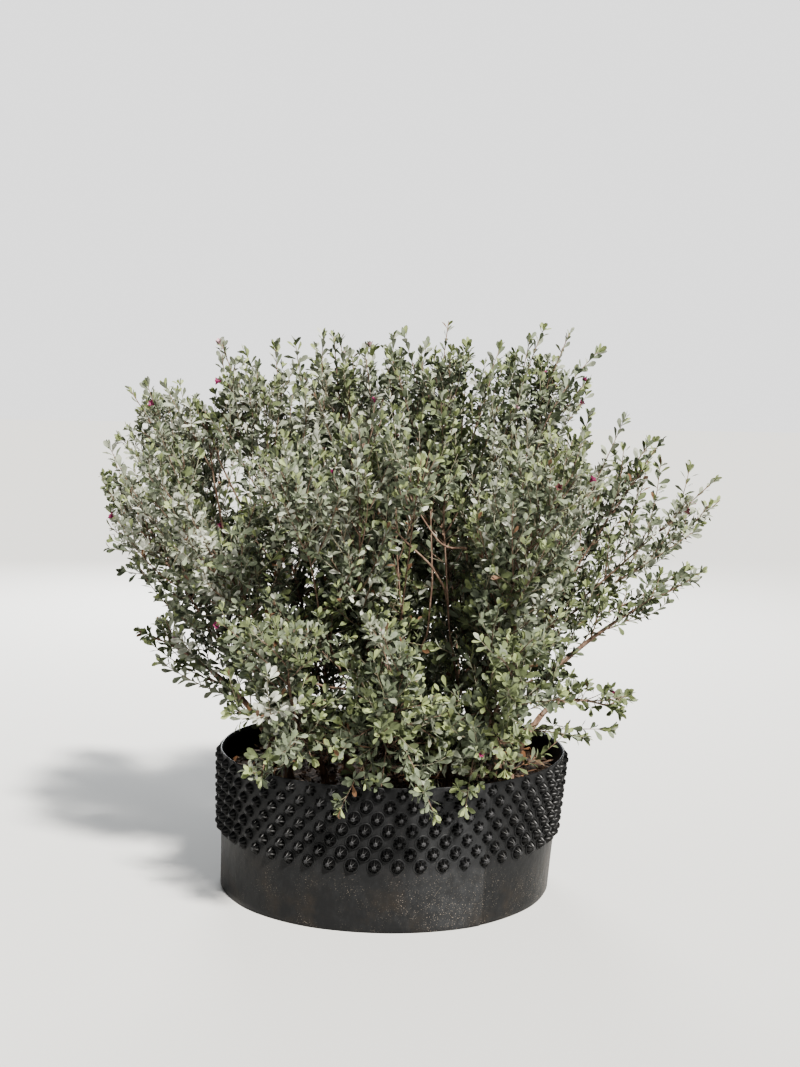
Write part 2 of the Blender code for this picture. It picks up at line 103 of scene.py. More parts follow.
SHEET_BLACK = (0.0055, 0.0055, 0.0058)
# The grey of scuffs, which also carries a painted sheen
WEAR_AND_SHEEN_GREY = (0.036, 0.037, 0.039)
# Studs: a darker black that paints dark reflections, and a grey that is rubbing and a painted sheen
STUD_BLACK = (0.0045, 0.0045, 0.0048)
RUBBED_AND_SHEEN_GREY = (0.052, 0.052, 0.055)
DIRT_FILM = (0.032, 0.025, 0.019)
# A painted reflection of brown ground, in streaks
GROUND_REFLECTION_BROWN = (0.056, 0.038, 0.027)
PALE_DUST = (0.260, 0.220, 0.180)


class Wire:
    """A value that runs through a material and is written with + - * / like a number."""

    def __init__(self, finish, socket):
        self.finish = finish
        self.socket = socket

    def math(self, operation, first, second):
        return self.finish.node("Math", {"operation": operation}, {0: first, 1: second})

    def __add__(self, other):
        return self.math("ADD", self, other)

    def __radd__(self, other):
        return self.math("ADD", other, self)

    def __sub__(self, other):
        return self.math("SUBTRACT", self, other)

    def __rsub__(self, other):
        return self.math("SUBTRACT", other, self)

    def __mul__(self, other):
        return self.math("MULTIPLY", self, other)

    def __rmul__(self, other):
        return self.math("MULTIPLY", other, self)


class Finish:
    """A Principled material: constants on its own sockets, and whatever varies wired in."""

    def __init__(self, name, colour, roughness, **constants):
        self.material = bpy.data.materials.new(name)
        self.material.use_nodes = True
        self.tree = self.material.node_tree
        self.shader = self.tree.nodes["Principled BSDF"]
        self.set("Base Color", (*colour, 1.0))
        self.set("Roughness", roughness)
        for socket, value in constants.items():
            self.set(socket.replace("_", " ").title().replace("Ior", "IOR"), value)

    def put(self, socket, value):
        if isinstance(value, Wire):
            self.tree.links.new(value.socket, socket)
        elif isinstance(value, tuple) and len(value) == 3 and socket.type == "RGBA":
            socket.default_value = (*value, 1.0)
        else:
            socket.default_value = value

    def set(self, socket, value):
        self.put(self.shader.inputs[socket], value)

    def node(self, kind, settings, sockets, output=0):
        """A node from its type, its settings, and the values or wires of its sockets."""
        made = self.tree.nodes.new("ShaderNode" + kind)
        for key, value in settings.items():
            setattr(made, key, value)
        live = [socket for socket in made.inputs if socket.enabled]
        for key, value in sockets.items():
            place = live[key] if isinstance(key, int) else next(s for s in live if s.name == key)
            self.put(place, value)
        return Wire(self, [socket for socket in made.outputs if socket.enabled][output])

    def place(self):
        """The point's own place in metres, which is output 3 of the node."""
        return self.node("TexCoord", {}, {}, 3)

    def noise(self, scale, detail=4.0, roughness=0.55, stretch=(1, 1, 1)):
        """Soft noise from zero to one."""
        spot = self.node("Mapping", {}, {"Vector": self.place(), "Scale": stretch})
        return self.node("TexNoise", {}, {
            "Vector": spot, "Scale": scale, "Detail": detail, "Roughness": roughness})

    def step(self, value, low, high):
        """Zero under low, one over high, and smooth between."""
        return self.node("MapRange", {"interpolation_type": "SMOOTHSTEP"}, {
            "Value": value, "From Min": low, "From Max": high})

    def mix(self, share, first, second):
        return self.node("Mix", {"data_type": "RGBA"}, {
            "Factor": share, "A": first, "B": second})

    def axis(self, index):
        """How far a point lies along X, Y or Z."""
        return self.node("SeparateXYZ", {}, {0: self.place()}, index)

    def two_tone(self, value, low, high, dark, pale):
        """A dark colour where a value is low, that turns pale where it is high."""
        self.set("Base Color", self.mix(self.step(value, low, high), dark, pale))

    def bump(self, height, distance, strength=1.0):
        self.set("Normal", self.node("Bump", {}, {
            "Height": height, "Distance": distance, "Strength": strength}))


def scene_object(name, data):
    """A new object in the scene."""
    made = bpy.data.objects.new(name, data)
    bpy.context.scene.collection.objects.link(made)
    return made


def mesh_object(name, points, faces, material, slot, flat=False):
    """A mesh from arrays of points and of three- or four-cornered faces, riding on the body."""
    groups = faces if isinstance(faces, list) else [faces]
    groups = [np.asarray(group, np.int32) for group in groups if len(group)]
    corners = np.concatenate([group.ravel() for group in groups])
    sizes = np.concatenate([np.full(len(group), group.shape[1], np.int32) for group in groups])
    starts = np.concatenate([[0], np.cumsum(sizes)[:-1]]).astype(np.int32)
    mesh = bpy.data.meshes.new(name)
    mesh.vertices.add(len(points))
    mesh.vertices.foreach_set("co", np.asarray(points, np.float32).ravel())
    mesh.loops.add(len(corners))
    mesh.loops.foreach_set("vertex_index", corners)
    mesh.polygons.add(len(sizes))
    mesh.polygons.foreach_set("loop_start", starts)
    mesh.polygons.foreach_set("use_smooth", np.full(len(sizes), not flat))
    mesh.update(calc_edges=True)
    mesh.validate()
    mesh.materials.append(material)
    made = scene_object(name, mesh)
    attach(made, "root")
    return made


def wall_place(angle, height, out):
    """Points so far out of the ring's outer face."""
    share = height / POT_HEIGHT
    radius = BASE_RADIUS + (RIM_RADIUS - BASE_RADIUS) * share + out
    across = RIM_SHIFT * share + radius * np.cos(angle)
    return np.stack([across, radius * np.sin(angle), height], axis=-1)


def lap(angle):
    """How far the overlapping end of the sheet stands out: a step that fades to the left."""
    behind = np.mod(LAP_ANGLE - angle, math.tau)
    return np.where(behind < LAP_WIDTH, LAP_STEP * (1.0 - behind / LAP_WIDTH) ** LAP_FADE, 0.0)


def grid_faces(rows, columns):
    """Four-cornered faces over a grid of points, row by row, that closes on itself."""
    row, column = np.meshgrid(np.arange(rows - 1), np.arange(columns), indexing="ij")
    after = (column + 1) % columns
    low, high = row * columns, (row + 1) * columns
    corners = [low + column, low + after, high + after, high + column]
    return np.stack(corners, axis=-1).reshape(-1, 4)


def fan(edge, centre):
    """Three-cornered faces from a closed edge, given by its points, to a point in its middle."""
    return np.stack([edge, np.roll(edge, -1), np.full(len(edge), centre)], axis=-1)


def turned_over(fans):
    """The same faces seen from their other side."""
    return fans[:, [1, 0, 2]]


def wall_mesh():
    """Outer face, rolled rim, inner face and the disc, as one skin of rings."""
    step_down = LAP_ANGLE % math.tau
    angles = math.tau * np.arange(WALL_COLUMNS) / WALL_COLUMNS
    angles = np.sort(np.concatenate([angles, [step_down - LAP_EDGE, step_down]]))
    outer = lap(angles) + sum(deep * np.sin(count * angles + turn) for deep, count, turn in DENTS)
    levels = [(0.0, -DISC_RING), (0.0, lap(angles) - FOOT_TUCK)]
    for height in np.linspace(EDGE, POT_HEIGHT - EDGE, WALL_ROWS):
        levels.append((height, outer - WAIST * math.sin(math.pi * height / POT_HEIGHT)))
    levels.append((POT_HEIGHT, outer - SHEET / 2))
    for height in np.linspace(POT_HEIGHT - EDGE, INNER_FOOT, INNER_ROWS):
        levels.append((height, outer - INNER_FACE))
    rings = [wall_place(angles, np.full_like(angles, height), out) for height, out in levels]
    points = np.concatenate(rings + [[[0.0, 0.0, 0.0]]])
    disc = turned_over(fan(np.arange(len(angles)), len(points) - 1))
    return points, [grid_faces(len(rings), len(angles)), disc]


def on_every_stud(levels, faces):
    """One small relief, given as out, side and up, set on the wall at each stud's place."""
    outs, sides, ups = levels
    points, groups = [], []
    for row in range(STUD_ROWS):
        height = POT_HEIGHT - TOP_ROW_DROP - row * ROW_PITCH
        for column in range(row % 2, 2 * STUDS_ROUND, 2):
            angle = math.pi * column / STUDS_ROUND
            up = np.minimum(height + ups, POT_HEIGHT - RIM_CLEARANCE)
            groups.append([part + len(outs) * len(points) for part in faces])
            points.append(wall_place(angle + sides / RIM_RADIUS, up, outs + lap(angle)))
    return np.concatenate(points), [np.concatenate(part) for part in zip(*groups)]


def rings_of_relief(levels, turn, petal):
    """Points of the rings round a stud's middle, as out, side and up."""
    rings = []
    for out, share, groove in levels:
        radius = STUD_RADIUS * share * (1.0 - groove * (1.0 - petal))
        ring = [np.full(len(turn), out), radius * np.cos(turn), radius * np.sin(turn)]
        rings.append(np.stack(ring))
    return np.concatenate(rings, axis=1)


def stud_mesh():
    """Every stud is a hollow cone of seven petals with a small flat tip."""
    around = STUD_POINTS * STUD_PETALS
    turn = math.tau * np.arange(around) / around
    petal = np.abs(np.sin(STUD_PETALS * (turn - STUD_TURN) / 2)) ** PETAL_CURVE
    relief = rings_of_relief(STUD_LEVELS, turn, petal)
    points = relief.shape[1]
    relief = np.concatenate([relief, [[STUD_HEIGHT - TIP_DISH], [0.0], [0.0]]], axis=1)
    tip = fan(np.arange(points - around, points), points)
    return on_every_stud(relief, [grid_faces(len(STUD_LEVELS), around), tip])


def dish_mesh():
    """The wall swells a little round the foot of every stud."""
    turn = math.tau * np.arange(DISH_POINTS) / DISH_POINTS
    relief = rings_of_relief(DISH_LEVELS, turn, 1.0)
    return on_every_stud(relief, [grid_faces(len(DISH_LEVELS), DISH_POINTS)])


def dust_and_reflection(finish, clean):
    """A colour with a brown film low down, a painted reflection of brown ground in streaks at the
    left and right edges, and fine pale dust that has stuck in patches.
    """
    height = finish.axis(2)
    near_foot = 1.0 - finish.step(height, 0.010, 0.130)
    film = finish.step(finish.noise(16.0, 5.0, 0.6), 0.45, 0.80) * near_foot
    dirt_and_reflection = finish.mix(film, clean, DIRT_FILM)
    # Painted reflection of brown ground: brown streaks low on the pot's left and right edges, as seen
    # from the front
    side = finish.node("Math", {"operation": "ABSOLUTE"}, {0: finish.axis(0)})
    streaks = finish.step(finish.noise(26.0, 4.0, 0.6, (1, 1, 0.25)), 0.30, 0.75)
    left_and_right_edges = finish.step(side, 0.274, 0.294)
    dirt_and_reflection = finish.mix(left_and_right_edges * near_foot * streaks, dirt_and_reflection, GROUND_REFLECTION_BROWN)
    patches = finish.step(finish.noise(9.0, 5.0, 0.65), 0.42, 0.62)
    specks = finish.step(finish.noise(520.0, 2.0, 0.5), 0.635, 0.690) * patches
    return finish.mix(specks * (0.10 + 0.90 * near_foot), dirt_and_reflection, PALE_DUST)


black = Finish("black_plastic", (0.010, 0.010, 0.011), 0.46, specular_ior_level=0.16)
round_pot = black.node("Math", {"operation": "ARCTAN2"}, {0: black.axis(1), 1: black.axis(0)})
scuffs = black.noise(95.0, 6.0, 0.65, (1, 1, 0.6))
clouds = black.noise(9.0, 3.0)
# Painted sheen: the wall's grey rises on the front and just left of the seam, and stops at the seam
painted_sheen_by_seam = black.step(round_pot, LAP_ANGLE - 0.60, LAP_ANGLE - 0.10)
painted_sheen_by_seam = painted_sheen_by_seam * (1.0 - black.step(round_pot, LAP_ANGLE, LAP_ANGLE + 0.012))
front = black.step(0.0 - black.axis(1), 0.10, 0.26)
wear_and_sheen = 0.55 + 0.45 * black.step(scuffs + 0.6 * clouds, 0.66, 1.05)
wear_and_sheen = wear_and_sheen * (0.08 + 0.37 * front + 0.55 * painted_sheen_by_seam)
black.set("Base Color", dust_and_reflection(black, black.mix(wear_and_sheen, SHEET_BLACK, WEAR_AND_SHEEN_GREY)))
black.set("Roughness", 0.38 + 0.14 * scuffs)
swells = black.noise(34.0, 2.0)
black.bump(0.35 * scuffs + 1.6 * swells, 0.0014, 0.55)

# The studs are glossy and coloured a darker black than the wall, a painted dark reflection on
# their steep sides, and their tips are grey, rubbed in patches and with a painted sheen
glossy = Finish("stud_plastic", (0.006, 0.006, 0.0065), 0.38, specular_ior_level=0.26)
up_share = glossy.axis(2) * (1.0 / POT_HEIGHT)
stud_x = glossy.axis(0) - RIM_SHIFT * up_share
stud_y = glossy.axis(1)
from_middle = glossy.node("Math", {"operation": "SQRT"}, {0: stud_x * stud_x + stud_y * stud_y})
out_of_wall = from_middle - (BASE_RADIUS + (RIM_RADIUS - BASE_RADIUS) * up_share)
rubbing_and_sheen = glossy.step(out_of_wall, 0.0074, 0.0096) * glossy.step(glossy.noise(240.0, 3.0), 0.30, 0.60)
glossy.set("Base Color", dust_and_reflection(glossy, glossy.mix(rubbing_and_sheen, STUD_BLACK, RUBBED_AND_SHEEN_GREY)))
glossy.set("Roughness", 0.38 + 0.16 * rubbing_and_sheen)

wall_points, wall_faces = wall_mesh()
pot_wall = mesh_object("pot_wall", wall_points, wall_faces, black.material, slot="pot_plastic")
mesh_object("pot_studs", *stud_mesh(), glossy.material, slot="pot_plastic")
mesh_object("pot_dishes", *dish_mesh(), black.material, slot="pot_plastic")
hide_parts("pot")

# The potting mix. Dark composted bark, settled a little under the rim, with the plant's own
# fallen leaves lying on it: most are brown, some are still orange.

MIX_LEVEL = 0.205
MIX_RADIUS = RIM_RADIUS - 0.0075
MIX_SHIFT = 0.010        # where the leaning pot's middle is at this height
MIX_SINK = 0.002
MIX_SKIRT = 0.012        # how far the edge goes down inside the pot
MIX_RINGS = 46
MIX_COLUMNS = 180
RING_CROWDING = 0.8      # the rings stand a little closer at the edge
CHIPS = 900
CHIP_LENGTHS = (0.004, 0.013)
CHIP_WIDTHS = (0.003, 0.007)
LITTER = 520
LITTER_LENGTHS = (0.014, 0.026)
LITTER_BEND = -0.18
LITTER_RISE = 0.003
LITTER_GAP = 0.0005
LITTER_SLOPE = 0.25      # most of it lies nearly flat
LITTER_TILT = 0.5
EDGE_GAP = 0.012         # how far from the edge of the mix chips and litter keep

rng = np.random.default_rng(11)


def ripples(x, y):
    """The uneven top of the mix."""
    return (0.0022 * np.sin(31 * x + 1.2) * np.sin(27 * y + 0.4)
            + 0.0016 * np.sin(73 * x + 2.0 * np.sin(41 * y))
            + 0.0010 * np.sin(151 * y + 3.0 * np.sin(97 * x)))


ring_radii = MIX_RADIUS * np.linspace(0.0, 1.0, MIX_RINGS) ** RING_CROWDING
mix_angles = math.tau * np.arange(MIX_COLUMNS) / MIX_COLUMNS
grid_x = MIX_SHIFT + ring_radii[1:, None] * np.cos(mix_angles)
grid_y = ring_radii[1:, None] * np.sin(mix_angles)
grid_z = MIX_LEVEL - MIX_SINK + ripples(grid_x, grid_y)
mix_points = np.stack([grid_x, grid_y, grid_z], axis=-1).reshape(-1, 3)
skirt = mix_points[-MIX_COLUMNS:] - (0.0, 0.0, MIX_SKIRT)
mix_points = np.concatenate([mix_points, skirt, [[MIX_SHIFT, 0.0, MIX_LEVEL]]])
mix_faces = grid_faces(MIX_RINGS, MIX_COLUMNS)[:, ::-1]
hub = fan(np.arange(MIX_COLUMNS), len(mix_points) - 1)

soil = Finish("potting_mix", (0.040, 0.028, 0.020), 0.95)
grains = soil.noise(140.0, 6.0, 0.7)
patches = soil.noise(18.0, 3.0)
soil.two_tone(grains + 0.3 * patches, 0.50, 0.85, (0.018, 0.012, 0.009), (0.110, 0.070, 0.045))
soil.bump(grains, 0.003, 0.9)
mix_top = mesh_object("mix_top", mix_points, [mix_faces, hub], soil.material, slot="potting_mix")
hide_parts("potting_mix")


def unit(ways):
    """Directions of length one."""
    return ways / np.maximum(np.linalg.norm(ways, axis=-1, keepdims=True), 1e-9)


def square_to(headings):
    """Any direction square to each heading, as the solids' rule takes it."""
    steep = np.abs(headings[..., 2:3]) >= 0.8
    helper = np.where(steep, np.array([1.0, 0.0, 0.0]), np.array([0.0, 0.0, 1.0]))
    return unit(np.cross(headings, helper))


def scatter(shape, roots, along, facing, lengths, widths=None):
    """Copies of a small shape (points across, along, up) set at roots in their own directions."""
    across = unit(np.cross(along, facing))
    facing = np.cross(across, along)
    widths = lengths if widths is None else widths
    points = (roots[:, None, :]
              + (across * widths[:, None])[:, None, :] * shape[None, :, 0:1]
              + (along * lengths[:, None])[:, None, :] * shape[None, :, 1:2]
              + (facing * widths[:, None])[:, None, :] * shape[None, :, 2:3])
    return points.reshape(-1, 3)


def repeat_faces(faces, count, size):
    """The faces of a small shape for each of its copies."""
    return (faces[None] + (np.arange(count) * size)[:, None, None]).reshape(-1, faces.shape[1])


def on_the_mix(count):
    """Places spread over the top of the mix."""
    radius = (MIX_RADIUS - EDGE_GAP) * np.sqrt(rng.random(count))
    angle = math.tau * rng.random(count)
    x = MIX_SHIFT + radius * np.cos(angle)
    y = radius * np.sin(angle)
    return np.stack([x, y, MIX_LEVEL + LITTER_GAP + ripples(x, y)], axis=-1)


def some_ways(count):
    """Directions all round."""
    return unit(rng.normal(size=(count, 3)))


CHIP = np.array([[-.5, -.5, -.3], [.5, -.4, -.2], [.4, .5, -.3], [-.4, .5, -.2],
                 [-.3, -.4, .2], [.3, -.3, .3], [.3, .4, .2], [-.2, .3, .3]])
CHIP_FACES = np.array([[3, 2, 1, 0], [4, 5, 6, 7], [0, 1, 5, 4], [1, 2, 6, 5], [2, 3, 7, 6],
                       [3, 0, 4, 7]])
bark_chip = Finish("bark_chips", (0.060, 0.036, 0.022), 0.9)
bark_chip.bump(bark_chip.noise(160.0), 0.001, 0.6)
chips = scatter(CHIP, on_the_mix(CHIPS), some_ways(CHIPS), some_ways(CHIPS),
                rng.uniform(*CHIP_LENGTHS, CHIPS), rng.uniform(*CHIP_WIDTHS, CHIPS))
mesh_object("bark_chips", chips, repeat_faces(CHIP_FACES, CHIPS, len(CHIP)), bark_chip.material,
            slot="potting_mix", flat=True)

# One leaf of this shrub: narrow at its foot, widest two thirds along, with a blunt round tip,
# cupped a little and bent back. Felted all over with fine silvery hairs.

LEAF_WAIST = (0.36, 0.120)      # how far along, and half the width there
LEAF_WIDEST = (0.70, 0.215)
LEAF_SHOULDER = (0.93, 0.120)
LEAF_CUP = 0.30
LEAF_BEND = 0.12


def leaf_shape(bend):
    """Points (across, along, up) and three-cornered faces of a leaf one unit long."""
    points = [(0.0, 0.0, 0.0)]
    for along, half in (LEAF_WAIST, LEAF_WIDEST, LEAF_SHOULDER):
        up = LEAF_CUP * half - bend * along ** 2
        points += [(half, along, up), (-half, along, up)]
    points += [(0.0, 1.0, -bend), (0.0, LEAF_WIDEST[0], -bend * LEAF_WIDEST[0] ** 2)]
    tip, middle = 7, 8
    faces = [(0, 1, 2), (1, 3, middle), (1, middle, 2), (2, middle, 4),
             (3, 5, middle), (middle, 5, 6), (middle, 6, 4), (5, tip, 6)]
    return np.array(points), np.array(faces)


LITTER_TINTS = {
    "litter_brown": (0.110, 0.062, 0.036),
    "litter_orange": (0.240, 0.120, 0.060),
    "litter_tan": (0.240, 0.165, 0.105),
}
litter_shape, litter_faces = leaf_shape(LITTER_BEND)
for name, tint in LITTER_TINTS.items():
    count = LITTER // len(LITTER_TINTS)
    dry = Finish(name, tint, 0.85)
    dry.bump(dry.noise(220.0), 0.0006, 0.5)
    spots = on_the_mix(count) + (0.0, 0.0, LITTER_RISE)
    along = some_ways(count) * (1.0, 1.0, LITTER_SLOPE)
    facing = some_ways(count) * LITTER_TILT + (0.0, 0.0, 1.0)
    lengths = rng.uniform(*LITTER_LENGTHS, count)
    mesh_object(name, scatter(litter_shape, spots, unit(along), unit(facing), lengths),
                repeat_faces(litter_faces, count, len(litter_shape)), dry.material,
                slot="potting_mix")

# Stems and boughs. Many thin stems rise from the mix, flare a little at the foot, lean out and
# fork. The bark is thin, reddish brown and finely furrowed, with a swelling at old leaf scars.

FLARE_RADIUS = 0.0125
FLARE_SHARE = 0.65
STEM_RINGS = 6
BOUGH_RINGS = 4
STEM_RADIUS = 0.0078
FORK_RADIUS = 0.0060
PLAIN_STEM_RADIUS = 0.0050
BOUGH_RADIUS = 0.0026
TIP_RADIUS = 0.0021
GAP = 0.0003
FIRST_RISE = 0.45
BOUGH_SHARE = 0.22
BARK_SIDES = 12
BARK_STEP = 0.0045
BARK_SIZES = 40          # how many sizes are given along a stem
BOUGH_BARK = 1.15        # how much thicker a bough is with its bark
FURROW = 0.05
SCAR_SWELL = 0.07
SCAR_PITCH = 0.0075

FORKED_STEMS = {
    "left": ((-0.165, 0.125), (-0.290, 0.070, 0.395)),
    "mid_left": ((-0.110, 0.030), (-0.190, -0.030, 0.400)),
    "front_left": ((-0.065, -0.075), (-0.090, -0.105, 0.315)),
    "centre": ((0.000, -0.020), (0.005, -0.055, 0.325)),
    "front_right": ((0.105, -0.070), (0.140, -0.095, 0.315)),
    "right": ((0.145, 0.020), (0.245, -0.010, 0.425)),
    "back": ((-0.030, 0.110), (-0.045, 0.155, 0.325)),
    "back_right": ((0.090, 0.110), (0.135, 0.130, 0.330)),
}
PLAIN_STEMS = {
    "left_low": ((-0.205, 0.010), (-0.270, 0.000, 0.335)),
    "left_sprig": ((-0.165, -0.115), (-0.178, -0.200, 0.300)),
    "skirt_left": ((-0.100, -0.155), (-0.120, -0.195, 0.275)),
    "skirt_middle": ((-0.005, -0.150), (0.000, -0.195, 0.275)),
    "skirt_right": ((0.105, -0.155), (0.135, -0.190, 0.280)),
    "right_low": ((0.195, -0.055), (0.290, -0.085, 0.400)),
    "right_sprig": ((0.215, -0.130), (0.265, -0.130, 0.330)),
    "back_low": ((0.020, 0.200), (0.030, 0.265, 0.310)),
}
FOLIAGE = {
    "left_outer": ("left", (-0.508, -0.010, 0.700), 0.125),
    "back_left": ("left", (-0.390, 0.290, 0.720), 0.170),
    "left_top": ("mid_left", (-0.470, 0.045, 0.875), 0.150),
    "left_front": ("mid_left", (-0.335, -0.240, 0.690), 0.150),
    "front_left": ("front_left", (-0.150, -0.345, 0.730), 0.150),
    "upper_left": ("front_left", (-0.295, -0.050, 0.958), 0.150),
    "front_centre": ("centre", (0.050, -0.370, 0.780), 0.150),
    "top_left": ("centre", (-0.105, 0.030, 0.980), 0.150),
    "front_right": ("front_right", (0.260, -0.330, 0.720), 0.150),
    "top_centre": ("front_right", (0.098, -0.020, 1.006), 0.150),
    "right_upper": ("right", (0.467, -0.060, 0.800), 0.110),
    "right_mid": ("right", (0.550, -0.130, 0.740), 0.100),
    "right_far": ("right", (0.599, 0.060, 0.693), 0.110),
    "back_middle": ("back", (-0.060, 0.420, 0.740), 0.180),
    "back_top": ("back", (-0.080, 0.270, 0.950), 0.200),
    "back_outer": ("back_right", (0.370, 0.330, 0.760), 0.190),
    "top_right": ("back_right", (0.320, 0.080, 0.990), 0.170),
    "left_low": ("left_low", (-0.440, -0.010, 0.445), 0.100),
    "left_sprig": ("left_sprig", (-0.195, -0.330, 0.262), 0.070),
    "skirt_left": ("skirt_left", (-0.150, -0.370, 0.490), 0.180),
    "skirt_middle": ("skirt_middle", (0.035, -0.385, 0.480), 0.180),
    "skirt_right": ("skirt_right", (0.205, -0.350, 0.480), 0.180),
    "right_low": ("right_low", (0.530, -0.080, 0.565), 0.110),
    "right_sprig": ("right_sprig", (0.402, -0.110, 0.336), 0.080),
    "back_low": ("back_low", (0.080, 0.410, 0.500), 0.180),
}


def bend(start, heading, end, count, stop=1.0):
    """Points on a curve that leaves the start along its heading and bends to the end."""
    start, heading, end = np.array(start), np.array(heading), np.array(end)
    t = (stop * np.arange(count) / (count - 1))[:, None]
    turn_point = start + heading * (FIRST_RISE * np.linalg.norm(end - start))
    return start * (1 - t) ** 2 + turn_point * (2 * t * (1 - t)) + end * t ** 2


def headings_along(points):
    """The direction of a line of points at each of them."""
    return unit(np.concatenate([
        points[1:2] - points[:1], points[2:] - points[:-2], points[-1:] - points[-2:-1]]))


def finer(points, step):
    """The same line with a point every step, smooth between the given ones."""
    gaps = np.linalg.norm(np.diff(points, axis=0), axis=1)
    reach = np.concatenate([[0.0], np.cumsum(gaps)])
    count = max(3, int(reach[-1] / step) + 1)
    wanted = np.linspace(0.0, reach[-1], count)
    return np.stack([np.interp(wanted, reach, points[:, i]) for i in range(3)], axis=-1), wanted


def tube(points, radii, sides, furrow=0.0, seed=0.0):
    """Rings round a line, with flat ends, and bark that stands up in furrows along it."""
    headings = headings_along(points)
    side = square_to(headings[:1])[0]
    angles = math.tau * np.arange(sides) / sides
    rings = []
    for row, (point, heading, radius) in enumerate(zip(points, headings, radii)):
        side = unit(side - heading * side.dot(heading))
        other = np.cross(heading, side)
        wave = (np.sin(5 * angles + 0.35 * row + seed)
                + 0.7 * np.sin(3 * angles - 0.8 * row + 2 * seed)
                + 0.6 * np.sin(1.7 * row + seed + 2 * angles))
        size = (radius * (1.0 + furrow * wave))[:, None]
        around = side * np.cos(angles)[:, None] + other * np.sin(angles)[:, None]
        rings.append(point + size * around)
    grid = np.concatenate(rings + [points[:1], points[-1:]])
    first_ring = np.arange(sides)
    last_ring = first_ring + (len(rings) - 1) * sides
    foot = turned_over(fan(first_ring, len(grid) - 2))
    tip = fan(last_ring, len(grid) - 1)
    return grid, grid_faces(len(rings), sides), np.concatenate([foot, tip])


def fork_places(stem_line, stem_heading, ends):
    """Where each bough starts on its stem's end: evenly round it, each on its own side."""
    middle = stem_line[-1] + stem_heading * GAP
    side = square_to(stem_heading)
    other = np.cross(stem_heading, side)
    wanted = [math.atan2((end - middle).dot(other), (end - middle).dot(side)) for end in ends]
    order = sorted(range(len(ends)), key=lambda i: wanted[i])
    step = math.tau / len(ends)
    drift = np.array([wanted[i] - rank * step for rank, i in enumerate(order)])
    first = math.atan2(np.sin(drift).sum(), np.cos(drift).sum())
    offset = FORK_RADIUS - BOUGH_RADIUS - GAP
    places = [None] * len(ends)
    for rank, i in enumerate(order):
        angle = first + rank * step
        places[i] = middle + (side * math.cos(angle) + other * math.sin(angle)) * offset
    return places


bark = Finish("bark", (0.160, 0.095, 0.065), 0.80)
furrows = bark.noise(210.0, 5.0, 0.65, (1, 1, 0.22))
blotches = bark.noise(30.0, 3.0)
bark.two_tone(furrows + 0.4 * blotches, 0.45, 0.90, (0.070, 0.040, 0.028), (0.260, 0.170, 0.120))
bark.set("Roughness", 0.72 + 0.2 * furrows)
bark.bump(furrows, 0.0008, 0.8)


def bark_piece(name, line, radii, node, seed):
    """A stem or bough with its bark, in place of its solid."""
    points, reach = finer(line, BARK_STEP)
    knots = np.linspace(0.0, 1.0, len(radii))
    share = reach / reach[-1]
    sizes = np.interp(share, knots, radii)
    sizes *= 1.0 + SCAR_SWELL * np.maximum(0.0, np.sin(reach / SCAR_PITCH + seed)) ** 6
    grid, quads, ends = tube(points, sizes, BARK_SIDES, FURROW, seed)
    piece = mesh_object(name, grid, [quads, ends], bark.material, slot="bark")
    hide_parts(node)


def stem_line(foot, top, top_radius):
    """The line and radii of a stem, from its flared foot up to its fork or its foliage."""
    start = np.array((*foot, MIX_LEVEL + GAP))
    line = bend(start, (0.0, 0.0, 1.0), top, STEM_RINGS)
    flare_top = start + (line[1] - start) * FLARE_SHARE
    flare, low = (size * top_radius / FORK_RADIUS for size in (FLARE_RADIUS, STEM_RADIUS))
    radii = np.concatenate([[flare], np.linspace(low, top_radius, STEM_RINGS)])
    return np.concatenate([line[:1], [flare_top], line[1:]]), radii


carriers = {}
limb_lines = []
limb_sizes = []
for number, (name, (foot, top)) in enumerate((FORKED_STEMS | PLAIN_STEMS).items()):
    forked = name in FORKED_STEMS
    line, radii = stem_line(foot, top, FORK_RADIUS if forked else PLAIN_STEM_RADIUS)
    spread = np.linspace(0, len(line) - 1, BARK_SIZES)
    bark_piece("bark_stem_" + name, line, np.interp(spread, np.arange(len(line)), radii),
               "stem_" + name, number)
    limb_lines.append(line)
    limb_sizes.append(radii)
    heading = headings_along(line)[-1]
    if not forked:
        carriers[name] = (line[-1] + heading * GAP, heading, radii[-1])
        continue
    masses = [mass for mass, entry in FOLIAGE.items() if entry[0] == name]
    ends = [np.array(top) + (np.array(FOLIAGE[mass][1]) - top) * BOUGH_SHARE for mass in masses]
    for mass, start, end in zip(masses, fork_places(line, heading, ends), ends):
        bough = bend(start, heading, end, BOUGH_RINGS)
        bough_radii = np.linspace(BOUGH_RADIUS, TIP_RADIUS, BOUGH_RINGS)
        bark_piece("bark_bough_" + mass, bough, bough_radii * BOUGH_BARK, "bough_" + mass,
                   number + 0.5)
        limb_lines.append(bough)
        limb_sizes.append(bough_radii)
        bough_heading = headings_along(bough)[-1]
        carriers[mass] = (bough[-1] + bough_heading * GAP, bough_heading, TIP_RADIUS)

# Foliage. From the end of each bough or plain stem one leader runs on to the crown's outline.
# Side shoots turn round it by the golden angle and bend up into wands. Short spurs stand along
# the wands, and small silvery leaves stand on both, in tufts, smaller and closer at the tips.

